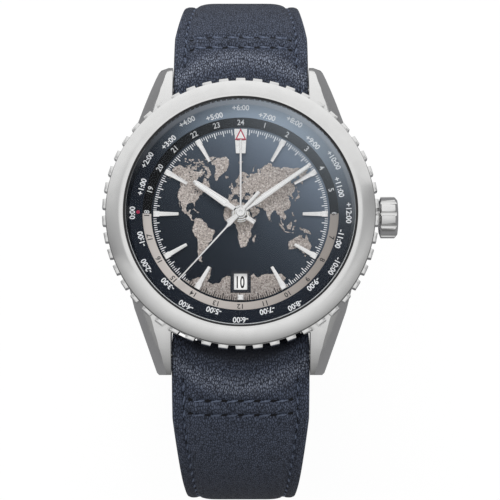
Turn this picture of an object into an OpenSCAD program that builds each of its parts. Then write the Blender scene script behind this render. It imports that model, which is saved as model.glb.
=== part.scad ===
// World-time wristwatch with a notched turning bezel and a leather strap.
// The dial faces up, 12 o'clock is towards +Y and the crown towards +X.
// The origin is the centre of the back, on the face that lies on the wrist.

/* [Case] */
// Step from the bezel's rim in to the side of the middle case
case_step = 0.45; // [0.3:0.05:0.6]
// Wall of the neck that the bezel turns on
neck_wall = 0.9; // [0.7:0.05:1]
// How far the neck stands above the bezel seat
neck_h = 1.0; // [0.8:0.05:1.02]
// Width of the seat that the dial rests on
dial_seat = 0.6; // [0.4:0.05:0.8]
// Height of the thread that the back screws into
thread_h = 1.1; // [0.8:0.1:1.3]
// Distance between the lugs, which the strap fills
lug_gap = 20.5; // [18:0.5:22]
// How far the lugs reach beyond the round case
lug_l = 4.1; // [3.6:0.1:4.8]
// Width of a lug at its tip
lug_tip_w = 2.15; // [1.9:0.05:2.6]
// Width of a lug where it leaves the case
lug_root_w = 5.4; // [4.8:0.1:6]
// Drop of a lug's top from the case to its tip
lug_drop = 3.4; // [3:0.1:4]
// Slope of the outer facet of a lug, in degrees
lug_facet = 48; // [40:1:56]
// Distance from a lug's tip back to the spring bar
bar_inset = 3.1; // [2.8:0.1:3.5]
// Height of the spring bars above the wrist
bar_z = 1.9; // [1.7:0.1:2.1]

/* [Back] */
// Width of the screwed back outside its gasket
back_rim = 1.3; // [1:0.05:1.5]
// Thickness of the case back's flange
back_h = 1.2; // [1.1:0.05:1.4]
// How far the window in the back reaches beyond the rotor
glass_over = 0.15; // [0.1:0.05:0.4]
// Thickness of the window in the back
back_glass_t = 0.9; // [0.7:0.05:1]
// Number of key notches in the back
notch_n = 6; // [4:1:8]
// Width of a key notch
notch_w = 2.4; // [2:0.1:3]

/* [Bezel] */
// Width of the bezel from the neck out to its polished rim
bezel_w = 3.4; // [3.2:0.05:3.6]
// How far the teeth stand out from the polished rim
teeth_out = 0.6; // [0.4:0.05:0.7]
// Number of teeth
teeth_n = 50; // [40:2:60]
// Share of each step that the tooth fills
teeth_fill = 0.62; // [0.5:0.02:0.7]
// Height of the toothed band
teeth_h = 2.05; // [1.8:0.05:2.2]
// Height from the case to the underside of the bezel
bezel_gap = 0.35; // [0.3:0.05:0.4]
// Rise of the polished dome from its rim to its inner lip
dome_h = 0.85; // [0.6:0.05:1]
// Width of the ledge that the crystal's gasket rests on
ledge_w = 0.9; // [0.8:0.05:1]

/* [Crystal] */
// Thickness of the crystal
crystal_t = 1.0; // [0.8:0.05:1.2]
// Rise of the crystal's centre above its edge
crystal_dome = 0.75; // [0.5:0.05:0.9]
// Width of the black gasket round the crystal
crystal_gasket_w = 0.28; // [0.2:0.02:0.36]

/* [Crown] */
// Diameter of the crown
crown_d = 6.17; // [5.6:0.1:6.4]
// Length of the crown
crown_l = 2.8; // [2.6:0.1:3.2]
// Number of flutes on the crown
flute_n = 10; // [8:1:14]
// Radius of a flute
flute_r = 0.4; // [0.3:0.05:0.5]
// Distance that the crown pulls out
crown_pull = 1.2; // [1:0.05:1.2]
// Diameter of the winding stem
stem_d = 0.9; // [0.8:0.05:1]

/* [Dial] */
// Diameter of the dial plate
dial_d = 29.7; // [29.5:0.1:29.8]
// Thickness of the dial plate
dial_t = 0.4; // [0.3:0.05:0.45]
// Width of the 24-hour ring's rim, which the city ring covers
ring_lap = 0.42; // [0.3:0.02:0.5]
// Width of the visible part of the 24-hour ring
ring24_w = 1.25; // [1.1:0.05:1.4]
// Width of the flat part of the city ring
city_flat = 1.95; // [1.7:0.05:2]
// Distance from the 24-hour ring in to the middle of the date window
date_in = 3.13; // [2.9:0.05:3.5]
// Width of the date window
date_w = 1.94; // [1.7:0.02:2.2]
// Height of the date window, towards the dial's centre
date_h = 2.43; // [2:0.05:2.6]
// Width of the frame round the date window
date_frame_w = 0.4; // [0.3:0.05:0.5]
// Length of an hour marker
marker_l = 3.75; // [3:0.05:4]
// Width of an hour marker at its outer end
marker_w = 0.87; // [0.7:0.01:1]
// Width of an hour marker at its inner end
marker_in_w = 0.46; // [0.36:0.01:0.6]
// Height of an hour marker
marker_h = 0.4; // [0.3:0.02:0.42]
// Height of the raised map
map_h = 0.06; // [0.04:0.01:0.08]

/* [Hands] */
// Hour that the hands show
time_h = 10; // [0:1:11]
// Minute that the hands show
time_m = 9.15; // [0:0.05:59.95]
// Second that the hands show
time_s = 37; // [0:1:59]
// Reach of the hour hand
hour_l = 8.5; // [7.5:0.1:8.6]
// Reach of the minute hand
minute_l = 12.7; // [11.5:0.1:12.9]
// Reach of the second hand
second_l = 13.8; // [12.5:0.1:14]
// Reach of the 24-hour hand
gmt_l = 12.9; // [11.5:0.1:13]
// Thickness of a hand
hand_t = 0.2; // [0.15:0.01:0.24]
// Height from one hand to the next
hand_step = 0.42; // [0.38:0.01:0.44]

/* [Movement] */
// Width of the ring that centres the main plate in the case
casing_w = 1.45; // [1.3:0.05:1.6]
// Thickness of the main plate
plate_t = 2.3; // [2.2:0.05:2.4]
// Height of the room for the wheels under the plate
train_h = 1.2; // [1.15:0.05:1.3]
// Thickness of a bridge
bridge_t = 0.42; // [0.38:0.02:0.45]
// Height of the rotor's heavy rim
rotor_h = 0.8; // [0.7:0.05:0.85]
// Distance from the edge of the main plate in to the rotor's rim
rotor_in = 0.85; // [0.7:0.05:1.2]
// Distance of the barrel from the centre
barrel_away = 5.88; // [5.7:0.02:6]
// Radius of the balance wheel
balance_r = 3.3; // [3:0.1:3.4]
// Turns of the hairspring
hairspring_turns = 7; // [4:1:9]
// Running clearance of a shaft in its hole
run = 0.05; // [0.02:0.01:0.08]

/* [Strap] */
// Clearance between the strap and each lug
strap_side = 0.1; // [0.05:0.05:0.3]
// Width of the strap at the buckle
strap_end_w = 16; // [14:0.5:18]
// Thickness of the strap at its edges
strap_t = 2.5; // [2.2:0.1:2.6]
// Rise of the padding above the edges
pad_h = 1.25; // [0.8:0.05:1.4]
// Width of the flat edge outside the stitches
edge_w = 1.75; // [1.4:0.05:2]
// Length of the 12 o'clock half from bar to bar
short_l = 78; // [76:1:80]
// Length of the 6 o'clock half from the bar to its tip
long_l = 115; // [112:1:118]
// Number of holes for the tongue
hole_n = 7; // [5:1:8]
// Diameter of a hole for the tongue
hole_d = 2; // [1.6:0.1:2.2]
// Distance between the holes
hole_step = 6.5; // [6:0.5:7]
// Diameter of the spring bars
bar_d = 1.5; // [1.4:0.05:1.6]
// Diameter of a spring bar's tip
bar_tip_d = 0.8; // [0.7:0.05:0.9]

/* [Buckle] */
// Length of the buckle from its bar to its front
buckle_l = 10; // [9:0.5:11]
// Width of one side arm of the buckle
buckle_arm = 1.5; // [1.3:0.1:1.8]
// Diameter of the buckle's front
buckle_front_d = 2.1; // [1.8:0.1:2.2]
// Diameter of the bar that the strap end turns on
buckle_bar_d = 1.4; // [1.2:0.1:1.5]
// Width of the tongue
tongue_w = 1.7; // [1.4:0.1:2]
// Width of a keeper along the strap
keeper_w = 4.5; // [4:0.1:5]
// Thickness of a keeper's leather
keeper_t = 1; // [0.8:0.1:1.2]
// Distance that the sliding keeper moves
keeper_slide = 3; // [2:0.5:3.5]

/* [Hidden] */

big = 60;
cut = 0.01;
$fn = 96;

// Heights of the movement, from the back upwards
rotor_z = back_h + 0.2;
bridge_z = rotor_z + rotor_h + 0.25;
train_z = bridge_z + bridge_t;
plate_z = train_z + train_h;
plate_top = plate_z + plate_t;
disc_t = 0.15;
disc_z = plate_top + 0.05;
dial_z = disc_z + disc_t + 0.15;
dial_top = dial_z + dial_t;
stem_z = plate_z + stem_d / 2 + 0.15;

// Radii of the case, from the movement outwards
seat_r = dial_d / 2 + 0.15;
cavity_r = seat_r - dial_seat;
neck_r = seat_r + neck_wall;
flange_r = neck_r + 0.35;
band_r = flange_r + bezel_w;
case_r = band_r - case_step;
teeth_r = band_r + teeth_out;
window_r = flange_r + ledge_w;
plate_r = cavity_r - casing_w;

// Heights of the case and the bezel
case_top = dial_z + 0.15;
neck_top = case_top + neck_h;
bezel_z = case_top + bezel_gap;
ledge_z = neck_top + 0.1;
rim_z = bezel_z + teeth_h + 0.3;
lip_z = rim_z + dome_h;
crystal_z = lip_z - crystal_t - 0.05;
back_thread_r = cavity_r + 0.6;
groove_in = back_thread_r + 0.3;
groove_out = back_thread_r + 0.9;
back_r = groove_out + back_rim;
rotor_r = plate_r - rotor_in;
back_glass_r = rotor_r + glass_over;

// Radii of the rings round the dial
ring24_out = dial_d / 2 - ring_lap;
ring24_in = ring24_out - ring24_w;
city_bend = ring24_out + city_flat;
date_r = ring24_in - date_in;

// Places of the spring bars and the strap
lug_reach = case_r + lug_l;
bar_y = lug_reach - bar_inset;
lug_x = lug_gap / 2;
strap_w = lug_gap - 2 * strap_side;
loop_r = strap_t / 2 + 0.65;
case_flat = bar_y - loop_r - 0.4;

function polar(r, a) = [r * sin(a), r * cos(a)];
function arc(c, r, a0, a1, n) = [for (i = [0:n]) let(a = a0 + (a1 - a0) * i / n) c + r * [cos(a), sin(a)]];

module tube(r_out, r_in, h) {
    difference() {
        cylinder(r = r_out, h = h);
        translate([0, 0, -cut]) cylinder(r = r_in, h = h + 2 * cut);
    }
}

module along_x(r, x0, x1) {
    translate([x0, 0, 0]) rotate([0, 90, 0]) cylinder(r = r, h = x1 - x0);
}

module at(p, z) {
    translate([p[0], p[1], z]) children();
}

module at_bar(side) {
    translate([0, side * bar_y, bar_z]) children();
}

// Case

lug_bend = case_r - 5.2;
lug_start = lug_bend - 5;
lug_bottom = 0.35;
lug_hole = bar_tip_d / 2 + run;
back_gap = 0.2;
case_round = 1.8;
case_bevel = 0.2;
link_h = 0.6;
groove_h = 0.4;
bar_tip_l = 1.1;
lug_arc_r = (pow(lug_reach - lug_bend, 2) + pow(lug_drop, 2)) / (2 * lug_drop);
lug_arc_a = asin((lug_reach - lug_bend) / lug_arc_r);
lug_tip_z = case_top - lug_drop;

module lug_plan() {
    polygon([[lug_x, lug_start], [lug_x, lug_reach], [lug_x + lug_tip_w * 0.8, lug_reach],
        [lug_x + lug_tip_w, lug_reach - 0.5], [lug_x + lug_root_w, lug_bend - 0.3],
        [lug_x + lug_root_w + 1.2, lug_start]]);
}

module lug_side() {
    polygon(concat([[lug_start, back_h + 1], [lug_start, case_top]],
        arc([lug_bend, case_top - lug_arc_r], lug_arc_r, 90, 90 - lug_arc_a, 10),
        [[lug_reach - 0.1, lug_tip_z - 1.5], [lug_reach - 1.2, lug_bottom]],
        arc([lug_reach - 6, 6.4], 6.2, -70, -100, 4),
        [[sqrt(pow(back_r + back_gap, 2) - lug_x * lug_x), back_h + 0.1]]));
}

module lug() {
    facet_in = 0.3 * lug_tip_w;
    facet_turn = atan((0.6 * lug_root_w - facet_in) / (lug_reach - lug_bend));
    difference() {
        intersection() {
            linear_extrude(case_top) lug_plan();
            rotate([90, 0, 90]) linear_extrude(lug_x + lug_root_w + 2) lug_side();
        }
        for (a = lug_arc_a * [0.2, 0.45, 0.7, 0.95])
            translate([lug_x + facet_in + (lug_reach - lug_bend - lug_arc_r * sin(a)) * tan(facet_turn),
                lug_bend + lug_arc_r * sin(a), case_top - lug_arc_r * (1 - cos(a))])
                rotate([0, 0, facet_turn]) rotate([-atan(tan(a) * cos(facet_turn)), 0, 0])
                    rotate([0, lug_facet, 0]) translate([-big / 2, -big / 2, 0]) cube([big, big, big / 2]);
        at_bar(1) along_x(lug_hole, lug_x - cut, lug_x + bar_tip_l);
    }
}

module case_middle() {
    color([0.78, 0.78, 0.77]) difference() {
        union() {
            difference() {
                rotate_extrude() polygon([[cavity_r - 1, back_h], [case_r - case_round, back_h],
                    [case_r - case_bevel, back_h + 1.2], [case_r, back_h + case_round],
                    [case_r, case_top - 2 * case_bevel], [case_r - case_bevel, case_top],
                    [neck_r, case_top], [neck_r, neck_top], [cavity_r - 1, neck_top]]);
                for (side = [-1, 1])
                    translate([-lug_x, side > 0 ? case_flat : -big, -cut])
                        cube([lug_gap, big - case_flat * (side > 0 ? 0 : 1), case_top - link_h]);
            }
            for (x = [0, 1], y = [0, 1]) mirror([x, 0, 0]) mirror([0, y, 0]) lug();
        }
        translate([0, 0, -cut]) cylinder(r = cavity_r, h = big / 2);
        translate([0, 0, -cut]) cylinder(r = back_thread_r, h = back_h + thread_h + cut);
        translate([0, 0, dial_z]) cylinder(r = seat_r, h = big / 2);
        translate([0, 0, -cut]) tube(groove_out, groove_in, back_h + groove_h + cut);
        translate([0, 0, stem_z]) along_x(tube_r, cavity_r - 2, case_r + 2);
    }
}

module case_back() {
    chamfer = 0.7;
    thread_in = back_thread_r - 0.9;
    thread_out = back_thread_r - run;
    thread_top = back_h + thread_h - 0.15;
    ledge_in = back_glass_r - 0.6;
    notch_l = 1.6;
    color([0.76, 0.76, 0.75]) difference() {
        rotate_extrude() polygon([[back_glass_r + run, 0], [back_r - chamfer, 0],
            [back_r, chamfer], [back_r, back_h], [thread_out, back_h],
            [thread_out, thread_top], [thread_in, thread_top], [thread_in, back_h],
            [ledge_in, back_h], [ledge_in, back_glass_t], [back_glass_r + run, back_glass_t]]);
        for (i = [0:notch_n - 1]) rotate(i * 360 / notch_n + 30)
            translate([back_r - notch_l, -notch_w / 2, -cut]) cube([2 * notch_l, notch_w, 0.6]);
    }
}

module back_window() {
    color([0.8, 0.85, 0.88, 0.4]) cylinder(r = back_glass_r, h = back_glass_t);
}

module back_gasket() {
    color([0.08, 0.08, 0.08]) translate([0, 0, back_h])
        tube(groove_out - 0.1, groove_in + 0.1, groove_h - 0.02);
}

module spring_bars() {
    shoulder = lug_x - 0.15;
    color([0.7, 0.7, 0.7]) for (side = [-1, 1]) at_bar(side) {
        along_x(bar_d / 2, -shoulder, shoulder);
        along_x(bar_tip_d / 2, -lug_x - bar_tip_l + 0.1, lug_x + bar_tip_l - 0.1);
    }
}

module bezel_gasket() {
    gasket_h = 0.4;
    color([0.08, 0.08, 0.08]) translate([0, 0, bezel_z + 0.1]) tube(flange_r - run, neck_r, gasket_h);
}

module click_spring() {
    spring_w = 1;
    spring_out = case_r - 0.8;
    color([0.72, 0.7, 0.62]) translate([0, 0, case_top])
        tube(spring_out, spring_out - spring_w, bezel_gap - 0.1);
}

// Bezel and crystal

tooth_step = 360 / teeth_n;
root_r = band_r - 0.1;
tooth_out = [for (i = [0:teeth_n - 1], k = [[-0.5, 0], [-0.38, 1], [0.38, 1], [0.5, 0]])
    polar(k[1] * teeth_r + (1 - k[1]) * root_r, (i + k[0] * teeth_fill * 1.1) * tooth_step)];

module bezel() {
    tooth_top = bezel_z + teeth_h;
    groove_top = tooth_top + 0.12;
    groove_r = root_r - 0.4;
    bevel = 0.3;
    lip_w = 0.2;
    dome_w = band_r - window_r - lip_w;
    dome_r = (dome_w * dome_w + dome_h * dome_h) / (2 * dome_h);
    dome_a = asin(dome_w / dome_r);
    color([0.82, 0.82, 0.81]) {
        rotate_extrude() polygon(concat([[flange_r, bezel_z], [groove_r, bezel_z],
            [groove_r, groove_top], [band_r, groove_top], [band_r, rim_z]],
            arc([window_r + lip_w, lip_z - dome_r], dome_r, 90 - dome_a, 90, 12),
            [[window_r, lip_z - lip_w / 2], [window_r, ledge_z], [flange_r, ledge_z]]));
        intersection() {
            translate([0, 0, bezel_z]) linear_extrude(teeth_h) difference() {
                polygon(tooth_out);
                circle(r = groove_r - 0.2);
            }
            rotate_extrude() polygon([[groove_r - 0.1, bezel_z], [teeth_r - bevel, bezel_z],
                [teeth_r, bezel_z + bevel], [teeth_r, tooth_top - 1.6 * bevel],
                [root_r + 0.1, tooth_top], [groove_r - 0.1, tooth_top]]);
        }
    }
}

module crystal() {
    r = window_r - crystal_gasket_w;
    ball = (r * r + crystal_dome * crystal_dome) / (2 * crystal_dome);
    sweep = asin(r / ball);
    middle = crystal_z + crystal_dome - ball;
    color([0.85, 0.9, 0.95, 0.25]) rotate_extrude() polygon(concat(
        arc([0, middle + crystal_t], ball, 90, 90 - sweep, 8), arc([0, middle], ball, 90 - sweep, 90, 8)));
}

module crystal_gasket() {
    color([0.05, 0.05, 0.05]) translate([0, 0, crystal_z])
        tube(window_r, window_r - crystal_gasket_w, crystal_t - 0.1);
}

module city_ring() {
    out = window_r - 0.02;
    inner = ring24_out;
    color([0.1, 0.13, 0.2]) rotate_extrude() polygon([[inner, ledge_z + 0.02],
        [flange_r - 0.1, ledge_z + 0.02], [flange_r, ledge_z], [out, ledge_z], [out, crystal_z],
        [out - 0.3, crystal_z], [city_bend, ledge_z + 0.3], [inner, ledge_z + 0.25]]);
}

// Dial

hour_spots = [1, 2, 3, 4, 5, 7, 8, 9, 10, 11];
marker_out = ring24_in - 0.3;
twelve_w = 2.2 * marker_w;
map_gap = 0.1;

module hour_24_ring() {
    top = ledge_z - 0.12;
    color([0.5, 0.48, 0.46]) rotate_extrude() polygon([[ring24_in, dial_top], [dial_d / 2, dial_top],
        [dial_d / 2, top], [ring24_out, top], [ring24_in, dial_top + 0.3]]);
}

module date_cut(extra, z, h) {
    size = [date_w + 2 * extra, date_h + 2 * extra];
    translate([-size[0] / 2, -date_r - size[1] / 2, z]) cube([size[0], size[1], h]);
}

module dial() {
    color([0.07, 0.1, 0.17]) difference() {
        translate([0, 0, dial_z]) cylinder(d = dial_d, h = dial_t);
        translate([0, 0, dial_z - cut]) cylinder(r = pipe_r[0] + 0.15, h = dial_t + 2 * cut);
        date_cut(date_frame_w, dial_z - cut, dial_t + 2 * cut);
    }
}

module date_frame() {
    color([0.06, 0.08, 0.14]) difference() {
        date_cut(date_frame_w, dial_z, dial_t + 0.05);
        date_cut(0, dial_z - cut, dial_t + 1);
    }
}

module baton(w, w_in, l, block) {
    linear_extrude(marker_h) {
        translate([-w / 2, -block]) square([w, block]);
        polygon([[-w * 0.4, -block], [w * 0.4, -block], [w_in / 2, -l], [-w_in / 2, -l]]);
    }
}

module hour_markers() {
    block = 0.92;
    six_w = 1.14 * marker_w;
    color([0.9, 0.9, 0.9]) translate([0, 0, dial_top]) {
        for (h = hour_spots) rotate(-30 * h) translate([0, marker_out])
            baton(marker_w, marker_in_w, marker_l, block);
        translate([0, marker_out]) baton(twelve_w, 0.75 * twelve_w, marker_l, block);
        rotate(180) translate([-six_w / 2, marker_out - marker_w]) cube([six_w, marker_w, marker_h]);
    }
}

// Coast lines as east and north degrees, chosen by hand and kept coarse
north_america = [[-166, 66], [-156, 71], [-128, 70], [-95, 72], [-82, 68], [-94, 60], [-82, 52],
    [-78, 60], [-65, 58], [-56, 51], [-66, 45], [-76, 36], [-81, 26], [-90, 30], [-97, 26],
    [-96, 19], [-88, 21], [-83, 11], [-77, 9], [-78, 6], [-92, 14], [-105, 20], [-114, 29], [-124, 40],
    [-124, 48], [-135, 58], [-152, 59], [-164, 55]];
greenland = [[-70, 78], [-40, 83], [-22, 78], [-24, 70], [-42, 60], [-52, 66]];
south_america = [[-79, 7.5], [-62, 10], [-50, 0], [-35, -7], [-39, -18], [-48, -27], [-58, -36],
    [-66, -45], [-69, -54], [-74, -50], [-71, -30], [-70, -18], [-81, -5]];
africa = [[-16, 15], [-17, 22], [-6, 35], [10, 37], [20, 31], [33, 31], [43, 12], [51, 12],
    [40, -5], [40, -16], [32, -28], [20, -35], [12, -18], [9, 1], [-8, 5]];
asia = [[-9, 37], [-2, 44], [-4, 48], [8, 54], [6, 60], [20, 70], [40, 67], [70, 72], [100, 77],
    [140, 73], [178, 68], [163, 60], [156, 52], [140, 55], [130, 42], [121, 38], [121, 29],
    [108, 20], [105, 10], [100, 14], [98, 8], [90, 22], [78, 8], [72, 21], [58, 25], [44, 13],
    [35, 28], [36, 36], [24, 38], [14, 41], [4, 43]];
australia = [[114, -22], [131, -12], [137, -15], [143, -11], [153, -27], [147, -38], [138, -34],
    [129, -32], [115, -34]];
antarctica = [[-170, -78], [-110, -73], [-60, -65], [-50, -77], [0, -70], [60, -67], [120, -66],
    [170, -71], [178, -90], [-150, -90]];
islands = [[[132, 33], [140, 35], [142, 45], [137, 37]], [[95, 5], [105, -6], [118, -8], [116, 5], [108, 1]],
    [[131, -2], [141, -3], [150, -10], [138, -8]], [[44, -16], [50, -15], [46, -25]],
    [[-6, 50], [1, 52], [-3, 58]], [[-23, 64], [-14, 65], [-19, 66]]];
map_step = 0.0715;
map_rise = [0.113, 0.089];
map_centre = [18.5, -1.93];
map_pinch = [0.2, 0.1];
map_bow = 0.00017;
map_polar = 0.0014;
map_spread = 0.024;
function half_of(p) = p[1] > 0 ? 0 : 1;
function shrunk(p) = map_step * (p[0] - map_centre[0]) * (1 - map_pinch[half_of(p)] * pow(p[1] / 60, 2));
function on_dial(p) = [shrunk(p) + map_spread * pow(max(0, shrunk(p) - 3), 2),
    map_centre[1] + map_rise[half_of(p)] * p[1] + map_bow * p[1] * pow(shrunk(p), 2)
        + map_polar * pow(max(0, p[1] - 55), 2)];

module room_for(w) {
    translate([-w / 2 - map_gap, marker_out - marker_l - map_gap]) square([w + 2 * map_gap, marker_l + 1]);
}

module world_map() {
    color([0.62, 0.58, 0.55]) translate([0, 0, dial_top]) linear_extrude(map_h) difference() {
        intersection() {
            union() {
                for (land = concat([north_america, greenland, south_america, africa, asia, australia,
                    antarctica], islands)) polygon([for (p = land) on_dial(p)]);
            }
            circle(r = marker_out - 0.76);
        }
        circle(r = pipe_r[0] + 0.3);
        for (h = hour_spots) rotate(-30 * h) room_for(marker_w);
        room_for(twelve_w);
        translate([-date_w / 2 - date_frame_w - map_gap, -big])
            square([date_w + 2 * (date_frame_w + map_gap),
                big - date_r + date_h / 2 + date_frame_w + map_gap]);
    }
}

module date_disc() {
    color([0.94, 0.94, 0.92]) translate([0, 0, disc_z]) tube(date_r + 1.55, date_r - 1.45, disc_t);
}

// Hands, each on its own pipe: 24-hour, hour, minute and second

pipe_r = [1.15, 0.9, 0.63, 0.38];
hand_z = [for (i = [0:3]) dial_top + marker_h + 0.1 + i * hand_step];
minute_a = 6 * time_m;
hour_a = 30 * (time_h + time_m / 60);
second_a = 6 * time_s;
hub_w = 0.4;
function bore_r(i) = pipe_r[i] + 0.005;

module hand(i, angle) {
    translate([0, 0, hand_z[i]]) rotate(-angle) difference() {
        linear_extrude(hand_t) union() {
            circle(r = pipe_r[i] + hub_w);
            children();
        }
        translate([0, 0, -cut]) cylinder(r = bore_r(i), h = hand_t + 2 * cut);
    }
}

module hour_hand() {
    color([0.92, 0.92, 0.92]) hand(1, hour_a)
        polygon([[-0.36, -2.6], [0.36, -2.6], [0.42, 2.2], [0.62, 2.6], [0.45, hour_l - 0.5], [0, hour_l],
            [-0.45, hour_l - 0.5], [-0.62, 2.6], [-0.42, 2.2]]);
}

module minute_hand() {
    color([0.92, 0.92, 0.92]) hand(2, minute_a)
        polygon([[-0.3, -2.5], [0.3, -2.5], [0.36, 2.2], [0.5, 2.6], [0.33, minute_l - 0.5], [0, minute_l],
            [-0.33, minute_l - 0.5], [-0.5, 2.6], [-0.36, 2.2]]);
}

module second_hand() {
    color([0.93, 0.93, 0.93]) {
        hand(3, second_a) polygon([[-0.25, -4.07], [0.25, -4.07], [0.28, 2.5], [0.12, 3.1], [0.1, second_l],
            [-0.1, second_l], [-0.12, 3.1], [-0.28, 2.5]]);
        translate([0, 0, hand_z[3] + hand_t]) tube(pipe_r[3] + hub_w, bore_r(3), 0.15);
    }
}

module gmt_hand() {
    head_h = 1.75;
    head_w = 1.66;
    stem_w = 0.3;
    color([0.72, 0.2, 0.3]) hand(0, 0) {
        translate([-stem_w / 2, 0]) square([stem_w, gmt_l - head_h + 0.05]);
        polygon([[-head_w / 2, gmt_l - head_h], [head_w / 2, gmt_l - head_h], [0, gmt_l]]);
    }
}

// Crown and winding parts, all round the stem's axis

crown_x = teeth_r + 0.25;
crown_end = crown_x + crown_l;
tube_r = 1.15;
crown_skin = 0.7;
crown_floor = 0.5;
room_r = tube_r + run + 0.5;
stem_in = 6.2;
pinion_l = 1.6;

module on_stem() {
    translate([0, 0, stem_z]) children();
}

module crown() {
    r = crown_d / 2;
    color([0.8, 0.8, 0.79]) on_stem() rotate([0, 90, 0]) difference() {
        rotate_extrude() polygon([[tube_r + run, crown_x], [r - 0.75, crown_x], [r, crown_x + 0.7],
            [r, crown_end - 0.5], [r - 0.5, crown_end - 0.08], [r - 1.2, crown_end], [0, crown_end],
            [0, crown_end - crown_skin], [room_r, crown_end - crown_skin], [room_r, crown_x + crown_floor],
            [tube_r + run, crown_x + crown_floor]]);
        for (i = [0:flute_n - 1]) rotate(i * 360 / flute_n)
            translate([r + flute_r * 0.25, 0, crown_x - 1]) cylinder(r = flute_r, h = crown_l + 2);
    }
}

module crown_gasket() {
    color([0.07, 0.07, 0.07]) on_stem() rotate([0, 90, 0]) translate([0, 0, crown_x + crown_floor + 0.05])
        tube(room_r - 0.02, tube_r + run, 0.6);
}

module crown_tube() {
    color([0.7, 0.7, 0.7]) on_stem() rotate([0, 90, 0]) translate([0, 0, cavity_r + 0.05])
        tube(tube_r, stem_d / 2 + run, crown_x + crown_pull + 0.7 - cavity_r - 0.05);
}

module winding_stem() {
    color([0.6, 0.6, 0.62]) on_stem() along_x(stem_d / 2, stem_in, crown_end - crown_skin);
}

module winding_pinion() {
    color([0.75, 0.72, 0.6]) on_stem() rotate([0, 90, 0]) translate([0, 0, pinion_x]) difference() {
        linear_extrude(pinion_l) gear(14, 0.13);
        translate([0, 0, -cut]) cylinder(r = stem_d / 2 + run, h = pinion_l + 2 * cut);
    }
}

// Gears: a wheel's teeth are narrower than half a step, so that a pair in mesh keeps clear

tooth = [[-0.27, -1.15], [-0.13, 0.75], [0.13, 0.75], [0.27, -1.15]];
function gear_points(n, size) = [for (i = [0:n - 1], k = tooth)
    polar(n * size / 2 + k[1] * size, (i + k[0]) * 360 / n)];

module gear(n, size) {
    polygon(gear_points(n, size));
}

module wheel(n, size, t, hole) {
    rim_r = n * size / 2 - 2.2 * size;
    linear_extrude(t) difference() {
        gear(n, size);
        difference() {
            circle(r = rim_r);
            circle(r = max(0.55, hole + 0.25));
            for (a = [0:72:359]) rotate(a) translate([-0.15, 0]) square([0.3, rim_r + 0.1]);
        }
        if (hole > 0) circle(r = hole);
    }
}

centre_n = 80;
third_pinion_n = 10;
third_n = 75;
fourth_pinion_n = 10;
fourth_n = 84;
escape_pinion_n = 7;
escape_n = 20;
barrel_n = 72;
centre_pinion_n = 12;
centre_m = 0.1;
third_away = centre_m * (centre_n + third_pinion_n) / 2;
third_m = 2 * third_away / (third_n + fourth_pinion_n);
fourth_m = 0.095;
escape_away = fourth_m * (fourth_n + escape_pinion_n) / 2;
barrel_m = 2 * barrel_away / (barrel_n + centre_pinion_n);
third_at = 250;
escape_at = 150;
barrel_at = 330;
balance_at = 157;
balance_away = 9;
third_p = polar(third_away, third_at);
escape_p = polar(escape_away, escape_at);
barrel_p = polar(barrel_away, barrel_at);
balance_p = polar(balance_away, balance_at);
wheel_t = 0.18;
layer = [train_z + 0.08, train_z + 0.38, train_z + 0.7, train_z + 0.97];
staff_r = 0.16;
centre_bore = 0.5;
seconds_r = pipe_r[3];

// How far a pinion is turned so that a gap between its teeth points at angle a
function gap_at(a, n) = a + 180 / n;

module turned(a) {
    rotate(-a) children();
}

module fourth_wheel() {
    color([0.85, 0.7, 0.35]) {
        translate([0, 0, layer[0]]) turned(escape_at) wheel(fourth_n, fourth_m, wheel_t, 0);
        translate([0, 0, layer[0] + wheel_t - cut]) turned(gap_at(third_at, fourth_pinion_n))
            linear_extrude(0.36) gear(fourth_pinion_n, third_m);
        translate([0, 0, bridge_z + bearing_in + 0.05])
            cylinder(r = staff_r, h = layer[2] - bridge_z - bearing_in);
        translate([0, 0, layer[2]]) cylinder(r = seconds_r, h = hand_z[3] + hand_t + 0.1 - layer[2]);
    }
}

module third_wheel() {
    color([0.85, 0.7, 0.35]) at(third_p, 0) {
        translate([0, 0, layer[1]]) turned(third_at + 180) wheel(third_n, third_m, wheel_t, 0);
        translate([0, 0, layer[1] + wheel_t - cut]) turned(gap_at(third_at + 180, third_pinion_n))
            linear_extrude(0.34) gear(third_pinion_n, centre_m);
        translate([0, 0, bridge_z + 0.1]) cylinder(r = staff_r, h = plate_z + 0.4 - bridge_z - 0.1);
    }
}

module centre_wheel() {
    color([0.85, 0.7, 0.35]) difference() {
        union() {
            translate([0, 0, layer[2]]) turned(third_at) wheel(centre_n, centre_m, wheel_t, 0);
            translate([0, 0, layer[2] + wheel_t - cut]) turned(gap_at(barrel_at, centre_pinion_n))
                linear_extrude(plate_z - layer[2] - wheel_t - 0.03) gear(centre_pinion_n, barrel_m);
            translate([0, 0, layer[2]]) cylinder(r = centre_bore, h = plate_z + 0.8 - layer[2]);
        }
        translate([0, 0, layer[2] - 1]) cylinder(r = seconds_r + run, h = 4);
    }
}

arbor_r = 0.45;
arbor_tip = 0.3;
drum_gap = 0.15;
drum_r = barrel_n * barrel_m / 2 - 2 * drum_gap;
drum_top = plate_z + 1.4;

module barrel() {
    color([0.83, 0.7, 0.4]) at(barrel_p, 0) {
        translate([0, 0, layer[3] - 0.02]) turned(barrel_at + 180)
            linear_extrude(plate_z - layer[3] - 0.02) difference() {
                gear(barrel_n, barrel_m);
                circle(r = arbor_r + run);
            }
        translate([0, 0, layer[3]]) tube(drum_r, arbor_r + run, drum_top - 0.05 - layer[3]);
    }
}

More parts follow.
